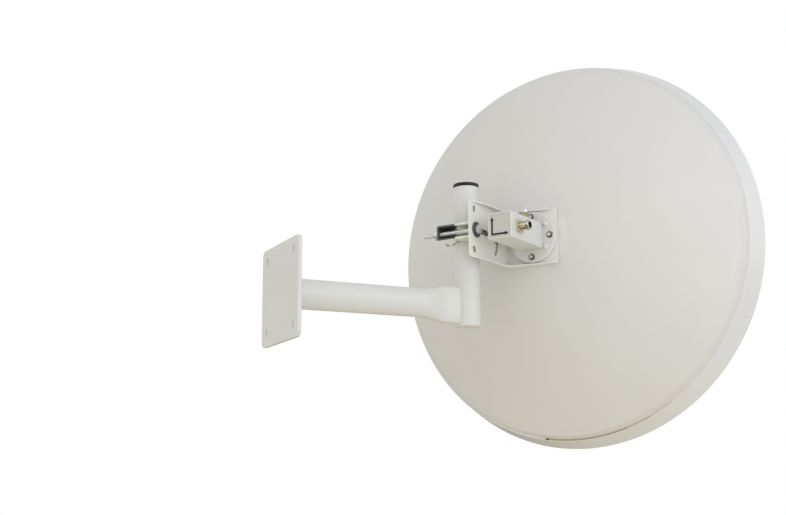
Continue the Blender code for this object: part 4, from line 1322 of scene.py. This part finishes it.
# %% Radome
CONE_TIP_RADIUS = 55 * MM
TIP_ROUND = 6 * MM
TIP_BLEND_RADIUS = CONE_TIP_RADIUS + 18 * MM
CONE_END_RADIUS = 316 * MM
LIP_OVERHANG = 1.1 * MM
LIP_FILLET = 6 * MM
SKIRT_EDGE = 2.4 * MM
SEAL_LIP = 0.55 * MM

slope = (tip_plane - TIP_ROUND - lip_plane - 2 * MM) / (LIP_RADIUS - 6 * MM - CONE_TIP_RADIUS)


def cone(radius):
    return tip_plane - TIP_ROUND - slope * (radius - CONE_TIP_RADIUS)


lip_corner = (LIP_RADIUS + LIP_OVERHANG, cone(LIP_RADIUS + LIP_OVERHANG) + 0.4 * MM)
shell_out = fillet([(0.0, tip_plane), (CONE_TIP_RADIUS - 6 * MM, tip_plane - 3.2 * MM),
                    (TIP_BLEND_RADIUS, cone(TIP_BLEND_RADIUS)), (CONE_END_RADIUS, cone(CONE_END_RADIUS)),
                    lip_corner, (SKIRT_RADIUS, skirt_back),
                    (SKIRT_RADIUS - SHELL_WALL - SEAL_LIP, skirt_back)],
                   [25 * MM, 40 * MM, 30 * MM, LIP_FILLET, SKIRT_EDGE], 8)
shell_in = [(SKIRT_RADIUS - SHELL_WALL - 0.2 * MM, skirt_back + 0.6 * MM),
            (skirt_inside(lip_plane - SKIRT_CORNER), lip_plane - SKIRT_CORNER),
            (LIP_RADIUS - 12 * MM, cone(LIP_RADIUS - 12 * MM) - SHELL_WALL),
            (CONE_TIP_RADIUS, cone(CONE_TIP_RADIUS) - SHELL_WALL), (0.0, tip_plane - SHELL_WALL)]
shell = lathe("radome_cover", shell_out + shell_in, DISH_STEPS)
place(move(shell, ALONG_Y), "antenna", radome_gloss, "radome_shell", "radome")

# %% Drain plug in the skirt's edge
DRAIN_ANGLE = radians(261.5)
DRAIN_RADIUS = 1.4 * MM
DRAIN_STANDS_OUT = 0.4 * MM
DRAIN_STRETCH = 1.8
drain_reach = SKIRT_RADIUS - SHELL_WALL / 2
drain_profile = fillet([(0.0, 1.0 * MM), (DRAIN_RADIUS, 1.0 * MM), (DRAIN_RADIUS, -DRAIN_STANDS_OUT),
                        (0.0, -DRAIN_STANDS_OUT)], [0.1 * MM, 0.3 * MM], 3)
drain = lathe("drain_plug", drain_profile, 32)
where = at(drain_reach * cos(DRAIN_ANGLE), skirt_back, drain_reach * sin(DRAIN_ANGLE)) @ ALONG_Y
oval = Matrix.Diagonal((DRAIN_STRETCH, 1.0, 1.0, 1.0))
place(move(drain, where @ oval), "antenna", cap_plastic, "radome_shell")

# %% [markdown]
# ## Studio
# The photograph was lit very softly and cut out on white, so the world is plain white to the camera. Matt
# surfaces are lit by a dimmer sky that is graded from below to above. Mirrors see a second sky, with a
# dark band under the horizon, so that plated metal has something to show. One picture of a real studio
# could do all of this, but graded skies can be fitted tone by tone. A warm floor, which neither the camera
# nor the mirrors see, throws light up from below. Four broad, weak lamps even out the rest: their
# strengths and tints were fitted until the tones of the pieces agreed with the photograph. The front lamp
# is hidden from mirrors.

# %% Floor
FLOOR_HEIGHT = -0.95
FLOOR_RADIUS = 3.0
FLOOR_CLOUD_SIZE = 0.9

floor_paint = Finish("floor_paint", roughness=0.8)
cloud = floor_paint.noise(FLOOR_CLOUD_SIZE, 2)
floor_paint.set(base_color=floor_paint.mix(cloud, (0.87, 0.82, 0.66), (0.89, 0.84, 0.68)))
edge = [(x, y, FLOOR_HEIGHT) for x, y in circle(FLOOR_RADIUS, 96)]
floor = as_piece("studio_floor", edge, [tuple(range(len(edge)))])
floor.data.materials.append(floor_paint.material)
floor.visible_camera = False
floor.visible_glossy = False
print("floor lies", -FLOOR_HEIGHT, "m under the wall plate's middle")

# %% World
LIT_BY = ((0.0, (0.65, 0.63, 0.56)), (0.45, (0.89, 0.885, 0.895)), (0.62, (0.89, 0.875, 0.855)),
          (1.0, (0.81, 0.80, 0.79)))
MIRRORED = ((0.0, (0.34, 0.30, 0.20)), (0.28, (0.07, 0.055, 0.03)), (0.46, (0.12, 0.11, 0.09)),
            (0.53, (0.90, 0.90, 0.88)), (0.68, 1.0), (0.86, 0.55), (1.0, 0.40))

world = bpy.data.worlds.new("studio")
bpy.context.scene.world = world
world.use_nodes = True
studio = Nodes(world.node_tree)
direction = studio.node("ShaderNodeTexCoord", output="Generated")
half_up = studio.node("ShaderNodeSeparateXYZ", {}, {"Vector": direction}, "Z") * 0.5 + 0.5


def sky(stops):
    """Light that changes with the height of its direction, from 0 straight down to 1 straight up."""
    colour = studio.node("ShaderNodeValToRGB", {"stops": stops}, {"Fac": half_up})
    return studio.node("ShaderNodeBackground", {}, {"Color": colour})


def choose(ray, usual, chosen):
    """Take the chosen light for one kind of ray and the usual one for all others."""
    share = studio.node("ShaderNodeLightPath", output=ray)
    return studio.node("ShaderNodeMixShader", {}, {0: share, 1: usual, 2: chosen})


backdrop = studio.tree.nodes["Background"]
studio.feed(backdrop.inputs["Color"], (1.0, 1.0, 1.0))
light = choose("Is Glossy Ray", sky(LIT_BY), sky(MIRRORED))
light = choose("Is Camera Ray", light, Wire(studio, backdrop.outputs[0]))
studio.feed(studio.tree.nodes["World Output"].inputs[0], light)
print("world:", len(studio.tree.nodes), "nodes")

# %% Lamps
AIM = Vector((0.22, 0.45, 0.12))


def lamp(name, towards, distance, size, power, colour=(1.0, 1.0, 1.0)):
    """A square area lamp that looks at the antenna."""
    light = bpy.data.lights.new(name, "AREA")
    light.size = size
    light.energy = power
    light.color = colour
    made = add_object(name, light)
    made.location = AIM + towards.normalized() * distance
    made.rotation_euler = (AIM - made.location).to_track_quat("-Z", "Y").to_euler()
    return made


lamp("key", -look + level * 1.1 + up * 0.5, 2.4, 1.4, 7.6, (0.69, 0.78, 1.0))
lamp("high", -look + level * 0.2 + up * 1.4, 2.4, 1.4, 4.4, (0.91, 1.0, 0.84))
lamp("low", -look + level * 0.3 - up * 0.2, 2.2, 1.4, 9.8, (0.82, 0.85, 1.0))
lamp("front", ahead + across * 0.2 - up * 0.35, 2.2, 1.0, 13.0).visible_glossy = False
bpy.context.scene.view_settings.view_transform = "Standard"
print("lamps:", [light.name for light in bpy.data.lights])
